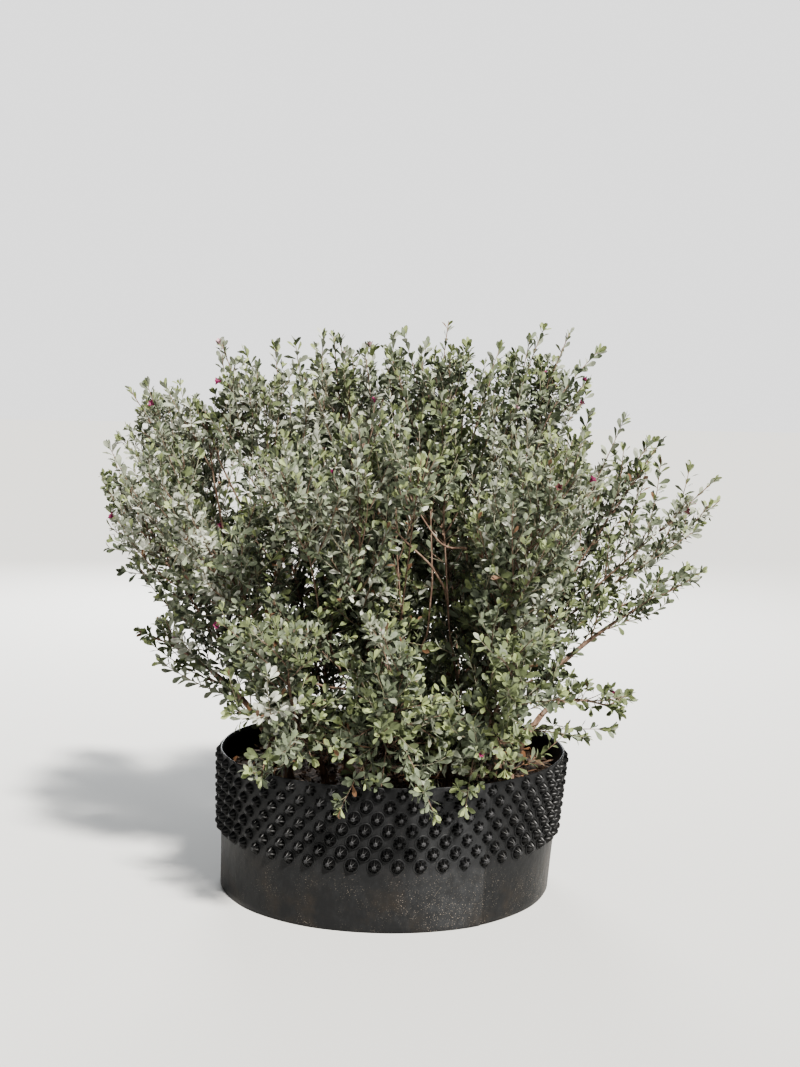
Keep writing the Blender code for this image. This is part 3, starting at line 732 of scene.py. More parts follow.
SPINE_POINTS = 5
LEADER_POINTS = 25
LEADER_END = 0.99        # how far along its curve a leader goes
STOP_STEP = 0.01
FULL_LEAF = 0.116        # the solids' leaves, which stand for whole sprays
FULL_REACH = 0.120
TIP_SUNK = 0.012
OPEN_REACH = 0.115       # a mass that reaches no further is a loose bundle of wands
SWELL_START = 0.2
LOOSE_MORE = 0.030       # how much further the shoots reach than the solids' twigs
FULL_MORE = 0.035
LOW_MASSES = ("skirt_left", "skirt_middle", "skirt_right", "back_low")
DROOP_PART = 12          # points of a low mass's leader that shoots hang from, over the rim
FOOT_PART = 15           # points of a leader that shaded shoots stand on
SPURS_FROM = 8           # the point of a leader that its own spurs start at

# How far growth keeps from what is round it
ROOM_OVERLAP = 0.004     # but a mass may grow so far into the room of the next
KEEP_OFF = 0.004
LIMB_CLEARANCE = 0.003
FLOOR_CLEARANCE = 0.004
LEAF_IN_BOX = 0.003
LEAF_OFF_POT = 0.001

# How side growth stands on what bears it: a step apart, from this share of the line on, at these
# angles at its foot and at its tip, with so much lift, each of so many points, and so long at
# the foot with this change up to the tip. Masses and spurs have rules of their own for lengths.
Growth = namedtuple("Growth", "step first spreads lift points lengths")
SHOOT_POINTS = 9
SIDE_POINTS = 6
SPUR_POINTS = 2
FULL_MASS = Growth(0.012, 0.03, (66, 26), 0.45, SHOOT_POINTS, None)
LOW_MASS = Growth(0.012, 0.03, (66, 26), -0.10, SHOOT_POINTS, None)
LOOSE_MASS = Growth(0.022, 0.18, (42, 22), 0.25, SHOOT_POINTS, None)
DROOPING = Growth(0.006, 0.02, (100, 75), -0.52, SHOOT_POINTS, (0.145, -0.020))
SIDE_WANDS = Growth(0.036, 0.18, (48, 26), 0.40, SIDE_POINTS, (0.095, -0.045))
LOOSE_WANDS = SIDE_WANDS._replace(step=0.060)
ON_LIMBS = Growth(0.014, 0.35, (66, 26), 0.30, SHOOT_POINTS, (0.060, 0.060))
SHADED = Growth(0.010, 0.05, (85, 66), 0.15, SIDE_POINTS, (0.130, -0.030))
ON_BARE_LIMBS = Growth(0.028, 0.62, (60, 25), 0.35, SHOOT_POINTS, (0.130, -0.050))
ON_INNER_LIMBS = Growth(0.014, 0.15, (60, 25), 0.35, SHOOT_POINTS, (0.130, -0.050))
SPURS = Growth(None, 0.12, (62, 40), 0.25, SPUR_POINTS, None)

# How far apart the spurs of each kind of line are, and how long at its foot
LEADER_SPURS = (0.014, 0.022)
SHOOT_SPURS = (0.030, 0.019)
WAND_SPURS = (0.034, 0.013)
LONE_SPURS = (0.024, 0.016)
SPUR_TAPER = 0.55

TURN = math.radians(137.5)
TURN_SCATTER = 0.28
STEP_SCATTER = 0.6
LENGTH_RANGE = (0.60, 1.10)
UPWARD = (0.0, 0.0, 0.2)
WIGGLE = 0.06
TALL_RARITY = 4          # the power that keeps most wands down

# The least that is left of a shoot where it is cut, or it is left out
LEAST_SHOOT = 0.025
LEAST_INNER_SHOOT = 0.030
LEAST_WAND = 0.018
LEAST_SPUR = 0.006
UNSEEN = 2               # points of a shoot's foot that may touch the limb that bears it

# Radii at the foot and the tip
LEADER_TIP = 0.0008      # its foot is as thick as what bears it
LIMB_RADII = (0.0026, 0.0012)
SHOOT_RADII = (0.0013, 0.0006)
SHADED_RADII = (0.0012, 0.0006)
WAND_RADII = (0.0009, 0.0005)
SPUR_RADII = (0.0007, 0.0005)

# The share of each line that is bare at its foot
LEADER_BARE = 0.25
SHOOT_BARE = 0.22
SHADED_BARE = 0.15
WAND_BARE = 0.10

# Leaves along a line, and in the tufts that end the spurs. Angles are in degrees off the line.
LEAF_STEP = 0.0080
LEAF_LENGTH = 0.0190
SHADE_GAIN = 0.0045      # how much longer they are at the foot of the shade
SHADE_TOP = 0.72
SHADE_DEPTH = 0.40
SHADED_LEAF = 0.0235
LEAF_ANGLES = (24, 62)
LEAF_RANGE = (0.75, 1.15)
LEAF_SCATTER = 0.12
FACE_SCATTER = 0.55
TIP_LEAVES = 5
TIP_FROM = 0.965
YOUNG_FROM = 0.80        # from this share of a line on its leaves are young
YOUNG_PART = 0.20        # and over this share they turn so
YOUNG_ANGLE = 16
YOUNG_SHRINK = 0.20
TUFT_LEAVES = (4, 7)
TUFT_ANGLES = (25, 80)
TUFT_RANGE = (0.55, 1.12)
TUFT_SCATTER = 0.35
TUFT_GAP = 0.001         # how far off the spur's end its leaves start
SIDE_LEAF = 0.95         # how large leaves on spurs and side wands are, next to the shoot's own

LEAF_TINTS = {
    "silver": (0.400, 0.412, 0.355),
    "grey_green": (0.232, 0.252, 0.190),
    "sage": (0.134, 0.158, 0.102),
    "olive": (0.108, 0.132, 0.060),
    "deep": (0.066, 0.082, 0.048),
    "young": (0.235, 0.275, 0.125),
    "dead": (0.150, 0.080, 0.042),
}
TINT_NAMES = list(LEAF_TINTS)
# Dark tints only, painted shade for the shoots in the crown's middle
SHADED_TINTS = ("sage", "olive", "deep")
MOODS = 6                # all but the dead

# Which tint a spray takes: by how far out of the crown's heart it is, by its height and by x.
# This paints light and shade: silvery outside, high up and at the left, greener low down and at
# the right, and deep inside.
HALF_CROWN = (0.55, 0.44, 0.60)     # half its width and depth, and its height over its heart
CROWN_HEART = 0.40
WIDTH_AT = ((0.25, 0.45, 0.65), (0.55, 0.80, 1.00))     # it is narrower at these low heights
OUTER_AT = ((0.55, 0.90), (0.0, 1.0))
LOW_AT = ((0.42, 0.66), (1.0, 0.0))
LOW_BY_X = ((-0.18, -0.02), (0.1, 1.0))
GREEN_BY_X = ((-0.12, 0.12, 0.26, 0.36), (0.0, 1.0, 1.0, 0.8))

# And which of its leaves take another. Low down none is silvery, as painted shade.
STRAY_TINTS = {"sage": 0.24, "grey_green": 0.14, "silver": 0.06}
LOW_LEAVES = 0.500       # under this height no stray leaf is silvery
LOW_STRAY = 0.10
YOUNG_STRAY = 0.60
DEAD_TOP = 0.65
DEAD_BELOW = 0.016       # the share of dead leaves below that height
DEAD_ABOVE = 0.001

# The top and the foot of the crown's outline from the front, as x and z
CROWN_TOP = (
    (-0.53, 0.62), (-0.49, 0.77), (-0.43, 0.855), (-0.36, 0.855), (-0.30, 0.825),
    (-0.27, 0.895), (-0.18, 0.925), (-0.06, 0.900), (0.00, 0.948), (0.05, 0.918),
    (0.12, 0.940), (0.18, 0.918), (0.25, 0.945), (0.29, 0.920), (0.35, 0.850),
    (0.38, 0.770), (0.45, 0.745), (0.50, 0.715), (0.54, 0.685), (0.62, 0.65),
)
CROWN_FOOT = (
    (-0.53, 0.62), (-0.49, 0.54), (-0.43, 0.485), (-0.33, 0.36), (-0.24, 0.26),
    (0.24, 0.26), (0.31, 0.41), (0.40, 0.49), (0.53, 0.57), (0.62, 0.67),
)
CROWN_MIDDLE = 0.02      # along Y, as its depth to either side
CROWN_DEPTH = 0.46
CROWN_WAIST = 0.46       # the height that its dome rises from
DOME_POWER = 2.6
TALLEST_RISE = 0.060     # how far a shoot may stand out of the crown's top

# Places where nothing leafy grows, so that the shaded inside shows: middles and half sizes
HOLLOWS = (
    ((0.072, -0.360, 0.575), (0.078, 0.300, 0.115)),
    ((-0.280, -0.050, 0.695), (0.036, 0.450, 0.066)),
    ((-0.135, -0.260, 0.560), (0.042, 0.200, 0.055)),
    ((0.128, -0.100, 0.800), (0.014, 0.200, 0.020)),
    ((-0.018, -0.100, 0.797), (0.016, 0.200, 0.024)),
    ((0.330, 0.000, 0.775), (0.018, 0.450, 0.026)),
    ((0.225, -0.280, 0.245), (0.070, 0.110, 0.050)),
    ((-0.112, -0.280, 0.235), (0.042, 0.110, 0.050)),
    ((-0.465, 0.000, 0.470), (0.070, 0.300, 0.030)),
    ((-0.335, 0.000, 0.338), (0.050, 0.300, 0.028)),
    ((0.252, -0.100, 0.305), (0.032, 0.400, 0.050)),
    ((0.370, -0.100, 0.245), (0.055, 0.300, 0.045)),
    ((0.472, 0.000, 0.628), (0.032, 0.300, 0.020)),
    ((0.434, 0.000, 0.590), (0.018, 0.300, 0.016)),
    ((-0.205, 0.000, 0.318), (0.040, 0.300, 0.032)),
    ((-0.095, -0.330, 0.415), (0.045, 0.105, 0.036)),
    ((0.112, -0.335, 0.425), (0.072, 0.125, 0.058)),
    ((0.355, -0.100, 0.410), (0.052, 0.300, 0.028)),
)

# Limbs that show as they cross the hollows, each from the leader or stem that it grows on
BARE_LIMBS = (
    ((0.128, -0.060, 0.560), (0.133, -0.150, 0.600), (0.128, -0.190, 0.624), (0.105, -0.200, 0.621),
     (0.085, -0.200, 0.629), (0.061, -0.200, 0.663), (0.036, -0.200, 0.702), (0.021, -0.200, 0.740)),
    ((0.110, -0.090, 0.480), (0.095, -0.180, 0.552), (0.069, -0.215, 0.597), (0.027, -0.210, 0.634),
     (-0.014, -0.220, 0.676), (-0.035, -0.220, 0.715)),
    ((-0.290, 0.065, 0.410), (-0.292, -0.010, 0.620), (-0.309, -0.020, 0.716), (-0.318, -0.020, 0.786),
     (-0.325, -0.020, 0.840)),
    ((-0.190, -0.030, 0.410), (-0.223, -0.020, 0.577), (-0.240, -0.030, 0.638), (-0.270, -0.035, 0.694),
     (-0.299, -0.030, 0.752), (-0.315, -0.020, 0.800)),
    ((0.140, -0.095, 0.330), (0.172, -0.120, 0.430), (0.169, -0.150, 0.489), (0.174, -0.150, 0.540),
     (0.155, -0.160, 0.620)),
    ((-0.090, -0.120, 0.330), (-0.059, -0.220, 0.387), (-0.087, -0.228, 0.446), (-0.110, -0.220, 0.510)),
    ((-0.059, -0.220, 0.387), (-0.100, -0.238, 0.394), (-0.135, -0.245, 0.409), (-0.175, -0.255, 0.440)),
    ((0.005, -0.060, 0.335), (0.040, -0.120, 0.400), (0.068, -0.150, 0.470), (0.075, -0.145, 0.560),
     (0.070, -0.120, 0.680)),
    ((0.140, -0.100, 0.325), (0.118, -0.140, 0.400), (0.104, -0.160, 0.480), (0.098, -0.140, 0.580),
     (0.090, -0.110, 0.700)),
    ((0.140, -0.100, 0.325), (0.165, -0.150, 0.390), (0.178, -0.175, 0.450), (0.190, -0.170, 0.560)),
    ((0.005, -0.060, 0.335), (0.022, -0.130, 0.390), (0.030, -0.160, 0.450), (0.020, -0.150, 0.540),
     (0.010, -0.130, 0.660)),
)

# Limbs inside the crown that the shaded foliage behind the hollows grows on
INNER_LIMBS = (
    ((0.135, 0.130, 0.335), (0.120, 0.130, 0.480), (0.105, 0.110, 0.640), (0.110, 0.090, 0.790)),
    ((-0.045, 0.155, 0.330), (0.000, 0.130, 0.470), (0.020, 0.090, 0.600), (0.030, 0.070, 0.740)),
    ((-0.190, -0.030, 0.405), (-0.170, 0.060, 0.500), (-0.150, 0.110, 0.620), (-0.150, 0.120, 0.760)),
    ((0.005, -0.060, 0.335), (-0.030, -0.180, 0.440), (-0.045, -0.260, 0.570), (-0.045, -0.300, 0.700),
     (-0.040, -0.300, 0.800)),
)
HAND_STEP = 0.010        # between the points of these limbs
# Lone wands that stand out of the crown's outline, by their tips
LONE_WANDS = (
    (-0.299, -0.010, 0.955), (-0.262, 0.020, 0.945), (-0.204, -0.020, 0.957), (-0.171, 0.010, 0.963),
    (-0.120, -0.020, 0.975), (-0.092, 0.020, 0.970), (-0.036, 0.030, 0.955), (0.018, -0.030, 0.978),
    (0.060, 0.020, 0.960), (0.133, 0.030, 0.962), (0.189, -0.020, 0.958), (0.240, -0.020, 0.975),
    (0.267, 0.010, 0.995), (0.362, -0.020, 0.955), (0.345, 0.010, 0.900), (0.404, -0.050, 0.838),
    (0.466, 0.020, 0.800), (0.452, -0.010, 0.792), (0.534, 0.030, 0.752), (0.522, -0.060, 0.580),
    (0.545, 0.010, 0.640), (-0.440, 0.060, 0.885), (-0.395, -0.030, 0.880), (-0.494, -0.020, 0.775),
    (-0.492, 0.030, 0.745), (-0.470, 0.090, 0.640), (-0.440, -0.060, 0.580), (-0.405, -0.020, 0.395),
    (-0.430, 0.010, 0.425), (-0.400, 0.030, 0.415), (0.392, -0.110, 0.304), (0.345, -0.120, 0.290),
    (0.312, -0.130, 0.305), (0.455, 0.000, 0.770), (0.440, -0.030, 0.750), (0.478, 0.010, 0.762),
    (0.420, 0.000, 0.735), (0.330, 0.000, 0.880), (0.001, 0.010, 0.975), (0.008, -0.010, 0.930),
    (0.352, 0.020, 0.845), (-0.012, 0.000, 0.953), (0.004, 0.030, 0.942), (-0.048, -0.010, 0.948),
    (-0.186, 0.000, 0.905), (-0.170, -0.040, 0.875),
)
WAND_LENGTH = 0.165
LONE_LEAF = 0.0230
LONE_STEP = 0.0062       # lone wands have closer leaves, so that they show
LONE_END = 0.97
LONE_DROOP = (0.0, 0.0, -0.3)
WANDS_FROM = (0.05, 0.0, 0.15)   # the wands lean away from here
HIGH_WANDS = 0.70        # and more upright where their tips are over this height
WAND_RISE = 0.50


class Lines:
    """Straight pieces of many lines, for measuring how far points are from them."""

    def __init__(self, lines, sizes=None):
        self.starts = np.concatenate([line[:-1] for line in lines])
        self.ways = np.concatenate([line[1:] for line in lines]) - self.starts
        self.lengths = (self.ways ** 2).sum(axis=1)
        self.sizes = 0.0
        if sizes:
            self.sizes = np.concatenate([np.maximum(size[:-1], size[1:]) for size in sizes])

    def nearest(self, places):
        gaps = places[:, None, :] - self.starts[None]
        along = np.clip((gaps * self.ways).sum(axis=2) / self.lengths, 0.0, 1.0)
        across = gaps - along[:, :, None] * self.ways
        return (np.sqrt((across ** 2).sum(axis=2)) - self.sizes).min(axis=1)


def off_the_pot(places, clear=KEEP_OFF):
    """True for each place that is clear of the pot's wall and of the mix."""
    share = np.clip(places[:, 2] / POT_HEIGHT, 0.0, 1.0)
    radius = np.hypot(places[:, 0] - RIM_SHIFT * share, places[:, 1])
    outside = (radius > RIM_RADIUS + STUD_HEIGHT + clear) & (places[:, 2] > FLOOR_CLEARANCE)
    inside = (radius < BASE_RADIUS) & (places[:, 2] > MIX_LEVEL + clear)
    return outside | inside | (places[:, 2] > POT_HEIGHT + clear)


def in_the_box(places, clear):
    """True for each place inside the box of the solids."""
    low = np.array(solid_low) + clear
    high = np.array(solid_high) - clear
    return np.all((places > low) & (places < high), axis=1)


def in_the_crown(places, rise):
    """True for each place over the crown's foot and under its domed top, or a rise over it."""
    top = np.interp(places[:, 0], *zip(*CROWN_TOP)) + rise
    foot = np.interp(places[:, 0], *zip(*CROWN_FOOT))
    away = np.clip(np.abs(places[:, 1] - CROWN_MIDDLE) / CROWN_DEPTH, 0.0, 1.0)
    dome = CROWN_WAIST + (top - CROWN_WAIST) * np.sqrt(1.0 - away ** DOME_POWER)
    return (places[:, 2] < dome) & (places[:, 2] > foot)


def in_a_hollow(places):
    """True for each place inside one of the crown's hollows."""
    found = np.zeros(len(places), bool)
    for middle, half in HOLLOWS:
        found |= (((places - np.array(middle)) / np.array(half)) ** 2).sum(axis=1) < 1.0
    return found


def leader_spine(mass):
    """The leader's line as the solids have it, for the room, and whole, up to its tip."""
    start, heading, _ = carriers[mass]
    tip, reach = np.array(FOLIAGE[mass][1]), FOLIAGE[mass][2]
    end_leaf = FULL_LEAF * min(1.0, reach / FULL_REACH)
    stop = 1.0
    while np.linalg.norm(tip - bend(start, heading, tip, 2, stop)[-1]) < end_leaf - TIP_SUNK:
        stop -= STOP_STEP
    spine = bend(start, heading, tip, SPINE_POINTS, stop)
    return spine, bend(start, heading, tip, LEADER_POINTS, LEADER_END)


def places_along(line, share):
    """Points of a line at shares of its length, with its direction there."""
    gaps = np.linalg.norm(np.diff(line, axis=0), axis=1)
    reach = np.concatenate([[0.0], np.cumsum(gaps)])
    both = np.concatenate([line, headings_along(line)], axis=1)
    at = np.stack([np.interp(share * reach[-1], reach, row) for row in both.T], axis=-1)
    return at[:, :3], unit(at[:, 3:])


def turned_round(heading, dice):
    """Directions square to the headings, each turned on from the last by the golden angle."""
    count = len(heading)
    scattered = dice.uniform(0.0, math.tau) + TURN * np.arange(count)
    angle = scattered + dice.normal(0, TURN_SCATTER, count)
    side = square_to(heading)
    return side * np.cos(angle)[:, None] + np.cross(heading, side) * np.sin(angle)[:, None]


def cut_to_room(lines, fits, least, dice, unseen=0):
    """Shoots cut where they first leave their room, with the very short ones dropped."""
    if not len(lines):
        return lines
    count, steps = lines.shape[:2]
    rise = TALLEST_RISE * dice.random(count) ** TALL_RARITY
    inside = fits(lines[:, 1:].reshape(-1, 3), np.repeat(rise, steps - 1))
    inside = inside.reshape(count, steps - 1)
    inside[:, :unseen] = True
    free = np.cumprod(inside, axis=1).sum(axis=1)
    lengths = np.linalg.norm(lines[:, -1] - lines[:, 0], axis=1) * free / (steps - 1)
    kept = np.flatnonzero(lengths > least)
    share = np.linspace(0.0, 1.0, steps)[None] * free[kept, None]
    low = np.minimum(share.astype(int), steps - 2)
    part = (share - low)[..., None]
    rows = np.arange(len(kept))[:, None]
    picked = lines[kept]
    return picked[rows, low] * (1 - part) + picked[rows, low + 1] * part


def shoots_round(line, growth, dice, length_at=None):
    """Side shoots turned round a line, that leave it at an angle and bend upwards."""
    points, first = growth.points, growth.first
    whole = np.linalg.norm(np.diff(line, axis=0), axis=1).sum()
    count = int(whole * (1 - first) / growth.step)
    if count < 1:
        return np.zeros((0, points, 3))
    share = first + (1 - first) * (np.arange(count) + STEP_SCATTER * dice.random(count)) / count
    foot, heading = places_along(line, share)
    low, high = (math.radians(spread) for spread in growth.spreads)
    spread = (low + (high - low) * share)[:, None]
    way = heading * np.cos(spread) + turned_round(heading, dice) * np.sin(spread)
    way = unit(way + UPWARD)
    length = length_at(share) if length_at else growth.lengths[0] + growth.lengths[1] * share
    length = (length * dice.uniform(*LENGTH_RANGE, count))[:, None, None]
    t = np.linspace(0.0, 1.0, points)[None, :, None]
    wiggle = dice.normal(0.0, WIGGLE, (count, 1, 3)) * t ** 2
    lift = growth.lift * t ** 2 * (0.0, 0.0, 1.0)
    return foot[:, None] + length * (way[:, None] * t + lift + wiggle)


def leaf_size(place):
    """Leaves are larger low down, in the shade."""
    return LEAF_LENGTH + SHADE_GAIN * min(1.0, max(0.0, (SHADE_TOP - place[2]) / SHADE_DEPTH))


def spray_mood(spot, dice):
    """Sprays outside, high up and at the left are silvery, a painted light; low ones green and
    inner ones deep, a painted shade.
    """
    x, y, z = spot
    half_width, half_depth, height = HALF_CROWN
    width = np.interp(z, *WIDTH_AT)
    up = max(0.0, z - CROWN_HEART) / height
    outer = np.interp(math.hypot(x / half_width / width, y / half_depth / width, up), *OUTER_AT)
    low = np.interp(z, *LOW_AT) * np.interp(x, *LOW_BY_X)
    green = np.interp(x, *GREEN_BY_X)
    weights = np.array([
        0.02 + 0.60 * outer * (1.0 - low) * (1.0 - 0.9 * green),            # silver
        0.08 + 0.75 * outer * (1.0 - 0.9 * low) * (1.0 - 0.5 * green),      # grey green
        0.80 + 0.30 * green,                                                # sage
        0.25 + 0.90 * low + 0.55 * green,                                   # olive
        0.15 + 2.20 * (1.0 - outer) + 0.50 * low,                           # deep
        0.05 + 0.10 * low,                                                  # young
    ])
    return dice.choice(MOODS, p=weights / weights.sum())


class Sprays:
    """All leafy shoots of the crown, and the leaves that stand on them."""

    def __init__(self):
        self.woody, self.green, self.leaves, self.tips = [], [], [], []

    def stand(self, foot, along, facing, size, tint):
        """Leaves where they are clear of the pot and inside the box."""
        end = foot + along * size[:, None]
        kept = in_the_box(end, LEAF_IN_BOX) & off_the_pot(end, LEAF_OFF_POT)
        self.leaves.append(np.column_stack([foot, along, facing, size, tint])[kept])

    def tints(self, foot, mood, young, dice):
        """The spray's own tint for most leaves, and a stray one for the rest."""
        stray = dice.random(len(young)) + LOW_STRAY * (foot[0, 2] < LOW_LEAVES)
        tint = np.full(len(young), mood)
        for name, share in STRAY_TINTS.items():
            tint[stray < share] = TINT_NAMES.index(name)
        tint[(young > 0.5) & (stray > YOUNG_STRAY)] = TINT_NAMES.index("young")
        return tint

    def leaf_out(self, line, bare, size, mood, dice, step=LEAF_STEP):
        """Leaves one by one along a shoot, smaller towards its tip, where a few stand together."""
        length = np.linalg.norm(np.diff(line, axis=0), axis=1).sum()
        count = max(2, int(length * (1 - bare) / step))
        share = bare + (1 - bare) * (np.arange(count) + 0.5) / count
        share = np.concatenate([share, np.linspace(TIP_FROM, 1.0, TIP_LEAVES)])
        foot, heading = places_along(line, share)
        young = np.clip((share - YOUNG_FROM) / YOUNG_PART, 0.0, 1.0)
        lean = np.radians(dice.uniform(*LEAF_ANGLES, len(share)) - YOUNG_ANGLE * young)[:, None]
        out = turned_round(heading, dice)
        scattered = dice.normal(0, LEAF_SCATTER, foot.shape)
        along = unit(heading * np.cos(lean) + out * np.sin(lean) + scattered)
        facing = unit(heading + dice.normal(0, FACE_SCATTER, foot.shape))
        sizes = size * dice.uniform(*LEAF_RANGE, len(share)) * (1 - YOUNG_SHRINK * young ** 2)
        tint = self.tints(foot, mood, young, dice)
        dead = DEAD_BELOW if foot[0, 2] < DEAD_TOP else DEAD_ABOVE
        tint[dice.random(len(share)) < dead] = TINT_NAMES.index("dead")
        self.stand(foot, along, facing, sizes, tint)

    def tuft(self, foot, heading, size, mood, dice):
        """A few leaves spread out from one point at the end of a spur."""
        count = dice.integers(*TUFT_LEAVES)
        heading = np.repeat(heading[None], count, axis=0)
        lean = np.radians(dice.uniform(*TUFT_ANGLES, count))[:, None]
        out = turned_round(heading, dice)
        along = unit(heading * np.cos(lean) + out * np.sin(lean))
        facing = unit(heading + dice.normal(0, TUFT_SCATTER, heading.shape))
        sizes = size * dice.uniform(*TUFT_RANGE, count)
        foot = foot + along * TUFT_GAP
        self.stand(foot, along, facing, sizes, self.tints(foot, mood, np.zeros(count), dice))

    def spur_out(self, line, fits, spurs, size, mood, dice):
        """Short spurs along a line, each ending in a tuft."""
        step, longest = spurs
        made = shoots_round(line, SPURS._replace(step=step), dice,
                            lambda share: longest * (1.0 - SPUR_TAPER * share))
        for spur in cut_to_room(made, fits, LEAST_SPUR, dice):
            self.green.append((spur, np.linspace(*SPUR_RADII, SPUR_POINTS)))
            self.tuft(spur[-1], unit(spur[-1] - spur[-2]), size * SIDE_LEAF, mood, dice)

    def shoot_out(self, shoot, fits, dice, side_growth=SIDE_WANDS):
        """A woody shoot with its side wands, its spurs and its leaves."""
        size = leaf_size(shoot[-1])
        mood = spray_mood(shoot[-1], dice)
        self.woody.append((shoot, np.linspace(*SHOOT_RADII, SHOOT_POINTS)))
        self.tips.append(shoot[-1])
        self.leaf_out(shoot, SHOOT_BARE, size, mood, dice)
        self.spur_out(shoot, fits, SHOOT_SPURS, size, mood, dice)
        wands = shoots_round(shoot, side_growth, dice)
        for wand in cut_to_room(wands, fits, LEAST_WAND, dice):
            self.green.append((wand, np.linspace(*WAND_RADII, SIDE_POINTS)))
            self.leaf_out(wand, WAND_BARE, size * SIDE_LEAF, mood, dice)
            self.spur_out(wand, fits, WAND_SPURS, size, mood, dice)


rooms = {mass: leader_spine(mass) for mass in FOLIAGE}
limb_room = Lines(limb_lines, limb_sizes)
sprays = Sprays()


def clear_of_limbs(places, rise=0.0):
    """True for each place inside the box, out of the hollows, that touches no pot, mix or limb."""
    good = off_the_pot(places) & in_the_box(places, KEEP_OFF) & ~in_a_hollow(places)
    return good & (limb_room.nearest(places) > LIMB_CLEARANCE)


def in_the_shrub(places, rise):
    """True for each such place that is inside the crown as well."""
    return clear_of_limbs(places) & in_the_crown(places, rise)


for number, (mass, (stem, tip, reach)) in enumerate(FOLIAGE.items()):
    dice = np.random.default_rng(100 + number)
    own = Lines([rooms[mass][0]])
    others = Lines([rooms[other][0] for other in FOLIAGE if other != mass])
    loose = reach < OPEN_REACH

    def fits(places, rise):
        """True for each place in this mass's own room, and in the crown if its stem forks."""
        free = in_the_shrub(places, rise) if stem in FORKED_STEMS else clear_of_limbs(places)
        return free & (own.nearest(places) < others.nearest(places) + ROOM_OVERLAP)

    def shoot_length(share):
        """The solids' rule for how far side shoots reach along their leader."""
        if loose:
            return LOOSE_MORE + reach * (0.85 - 0.68 * share)
        swell = np.sin(math.pi * np.minimum(1.0, SWELL_START + share))
        return reach * (0.55 + 0.45 * swell) + FULL_MORE

    leader = rooms[mass][1]
    mood = spray_mood(leader[-1], dice)
    size = leaf_size(leader[-1])
    sprays.woody.append((leader, np.linspace(carriers[mass][2], LEADER_TIP, len(leader))))
    sprays.leaf_out(leader, LEADER_BARE, size, mood, dice)
    sprays.spur_out(leader[SPURS_FROM:], fits, LEADER_SPURS, size, mood, dice)
    growth = LOOSE_MASS if loose else LOW_MASS if mass in LOW_MASSES else FULL_MASS
    shoots = shoots_round(leader, growth, dice, shoot_length)
    if mass in LOW_MASSES:
        shoots = np.concatenate([shoots, shoots_round(leader[:DROOP_PART], DROOPING, dice)])
    for shoot in cut_to_room(shoots, fits, LEAST_SHOOT, dice):
        sprays.shoot_out(shoot, fits, dice, LOOSE_WANDS if loose else SIDE_WANDS)

# Leafy shoots low down, on the stems, the boughs and the feet of the leaders, which fill the
# shrub's shaded middle. Those on the leaders' feet take only dark tints, as painted shade.
for number, line in enumerate(limb_lines):
    dice = np.random.default_rng(300 + number)
    shoots = shoots_round(line, ON_LIMBS, dice)
    for shoot in cut_to_room(shoots, clear_of_limbs, LEAST_INNER_SHOOT, dice, UNSEEN):
        sprays.shoot_out(shoot, clear_of_limbs, dice)

for number, (mass, (_, leader)) in enumerate(rooms.items()):
    dice = np.random.default_rng(400 + number)
    if FOLIAGE[mass][2] < OPEN_REACH:
        continue
    shoots = shoots_round(leader[:FOOT_PART], SHADED, dice)
    for shoot in cut_to_room(shoots, in_the_shrub, LEAST_INNER_SHOOT, dice):
        mood = TINT_NAMES.index(dice.choice(SHADED_TINTS))
        sprays.green.append((shoot, np.linspace(*SHADED_RADII, SIDE_POINTS)))
        sprays.leaf_out(shoot, SHADED_BARE, SHADED_LEAF, mood, dice)

# Listed limbs: bare ones bear leaves only at their ends, inner ones all the way
for number, knots in enumerate(BARE_LIMBS + INNER_LIMBS):
    dice = np.random.default_rng(500 + number)
    growth = ON_BARE_LIMBS if number < len(BARE_LIMBS) else ON_INNER_LIMBS
    line, _ = finer(np.array(knots), HAND_STEP)
    line[1:-1] = (line[:-2] + 2 * line[1:-1] + line[2:]) / 4
    mood = spray_mood(line[-1], dice)
    sprays.woody.append((line, np.linspace(*LIMB_RADII, len(line))))
    sprays.leaf_out(line, 0.5 + growth.first / 2, leaf_size(line[-1]), mood, dice)
    shoots = shoots_round(line, growth, dice)
    for shoot in cut_to_room(shoots, in_the_shrub, LEAST_INNER_SHOOT, dice):
        sprays.shoot_out(shoot, in_the_shrub, dice)

# Lone wands, each from the twig that is nearest to where its foot should be
twig_points = np.concatenate([line for line, _ in sprays.woody])
for number, tip in enumerate(LONE_WANDS):
    dice = np.random.default_rng(700 + number)
    tip = np.array(tip)
    lean = unit(unit(tip - WANDS_FROM) + (0.0, 0.0, WAND_RISE if tip[2] > HIGH_WANDS else 0.0))
    foot = twig_points[np.linalg.norm(twig_points - (tip - lean * WAND_LENGTH), axis=1).argmin()]
    wand = bend(foot, unit(lean + LONE_DROOP), tip, SHOOT_POINTS, LONE_END)
    mood = spray_mood(tip, dice)
    sprays.woody.append((wand, np.linspace(*SHOOT_RADII, SHOOT_POINTS)))
    sprays.tips.append(wand[-1])
    sprays.leaf_out(wand, WAND_BARE, LONE_LEAF, mood, dice, LONE_STEP)
    sprays.spur_out(wand[:SIDE_POINTS], clear_of_limbs, LONE_SPURS, LONE_LEAF, mood, dice)

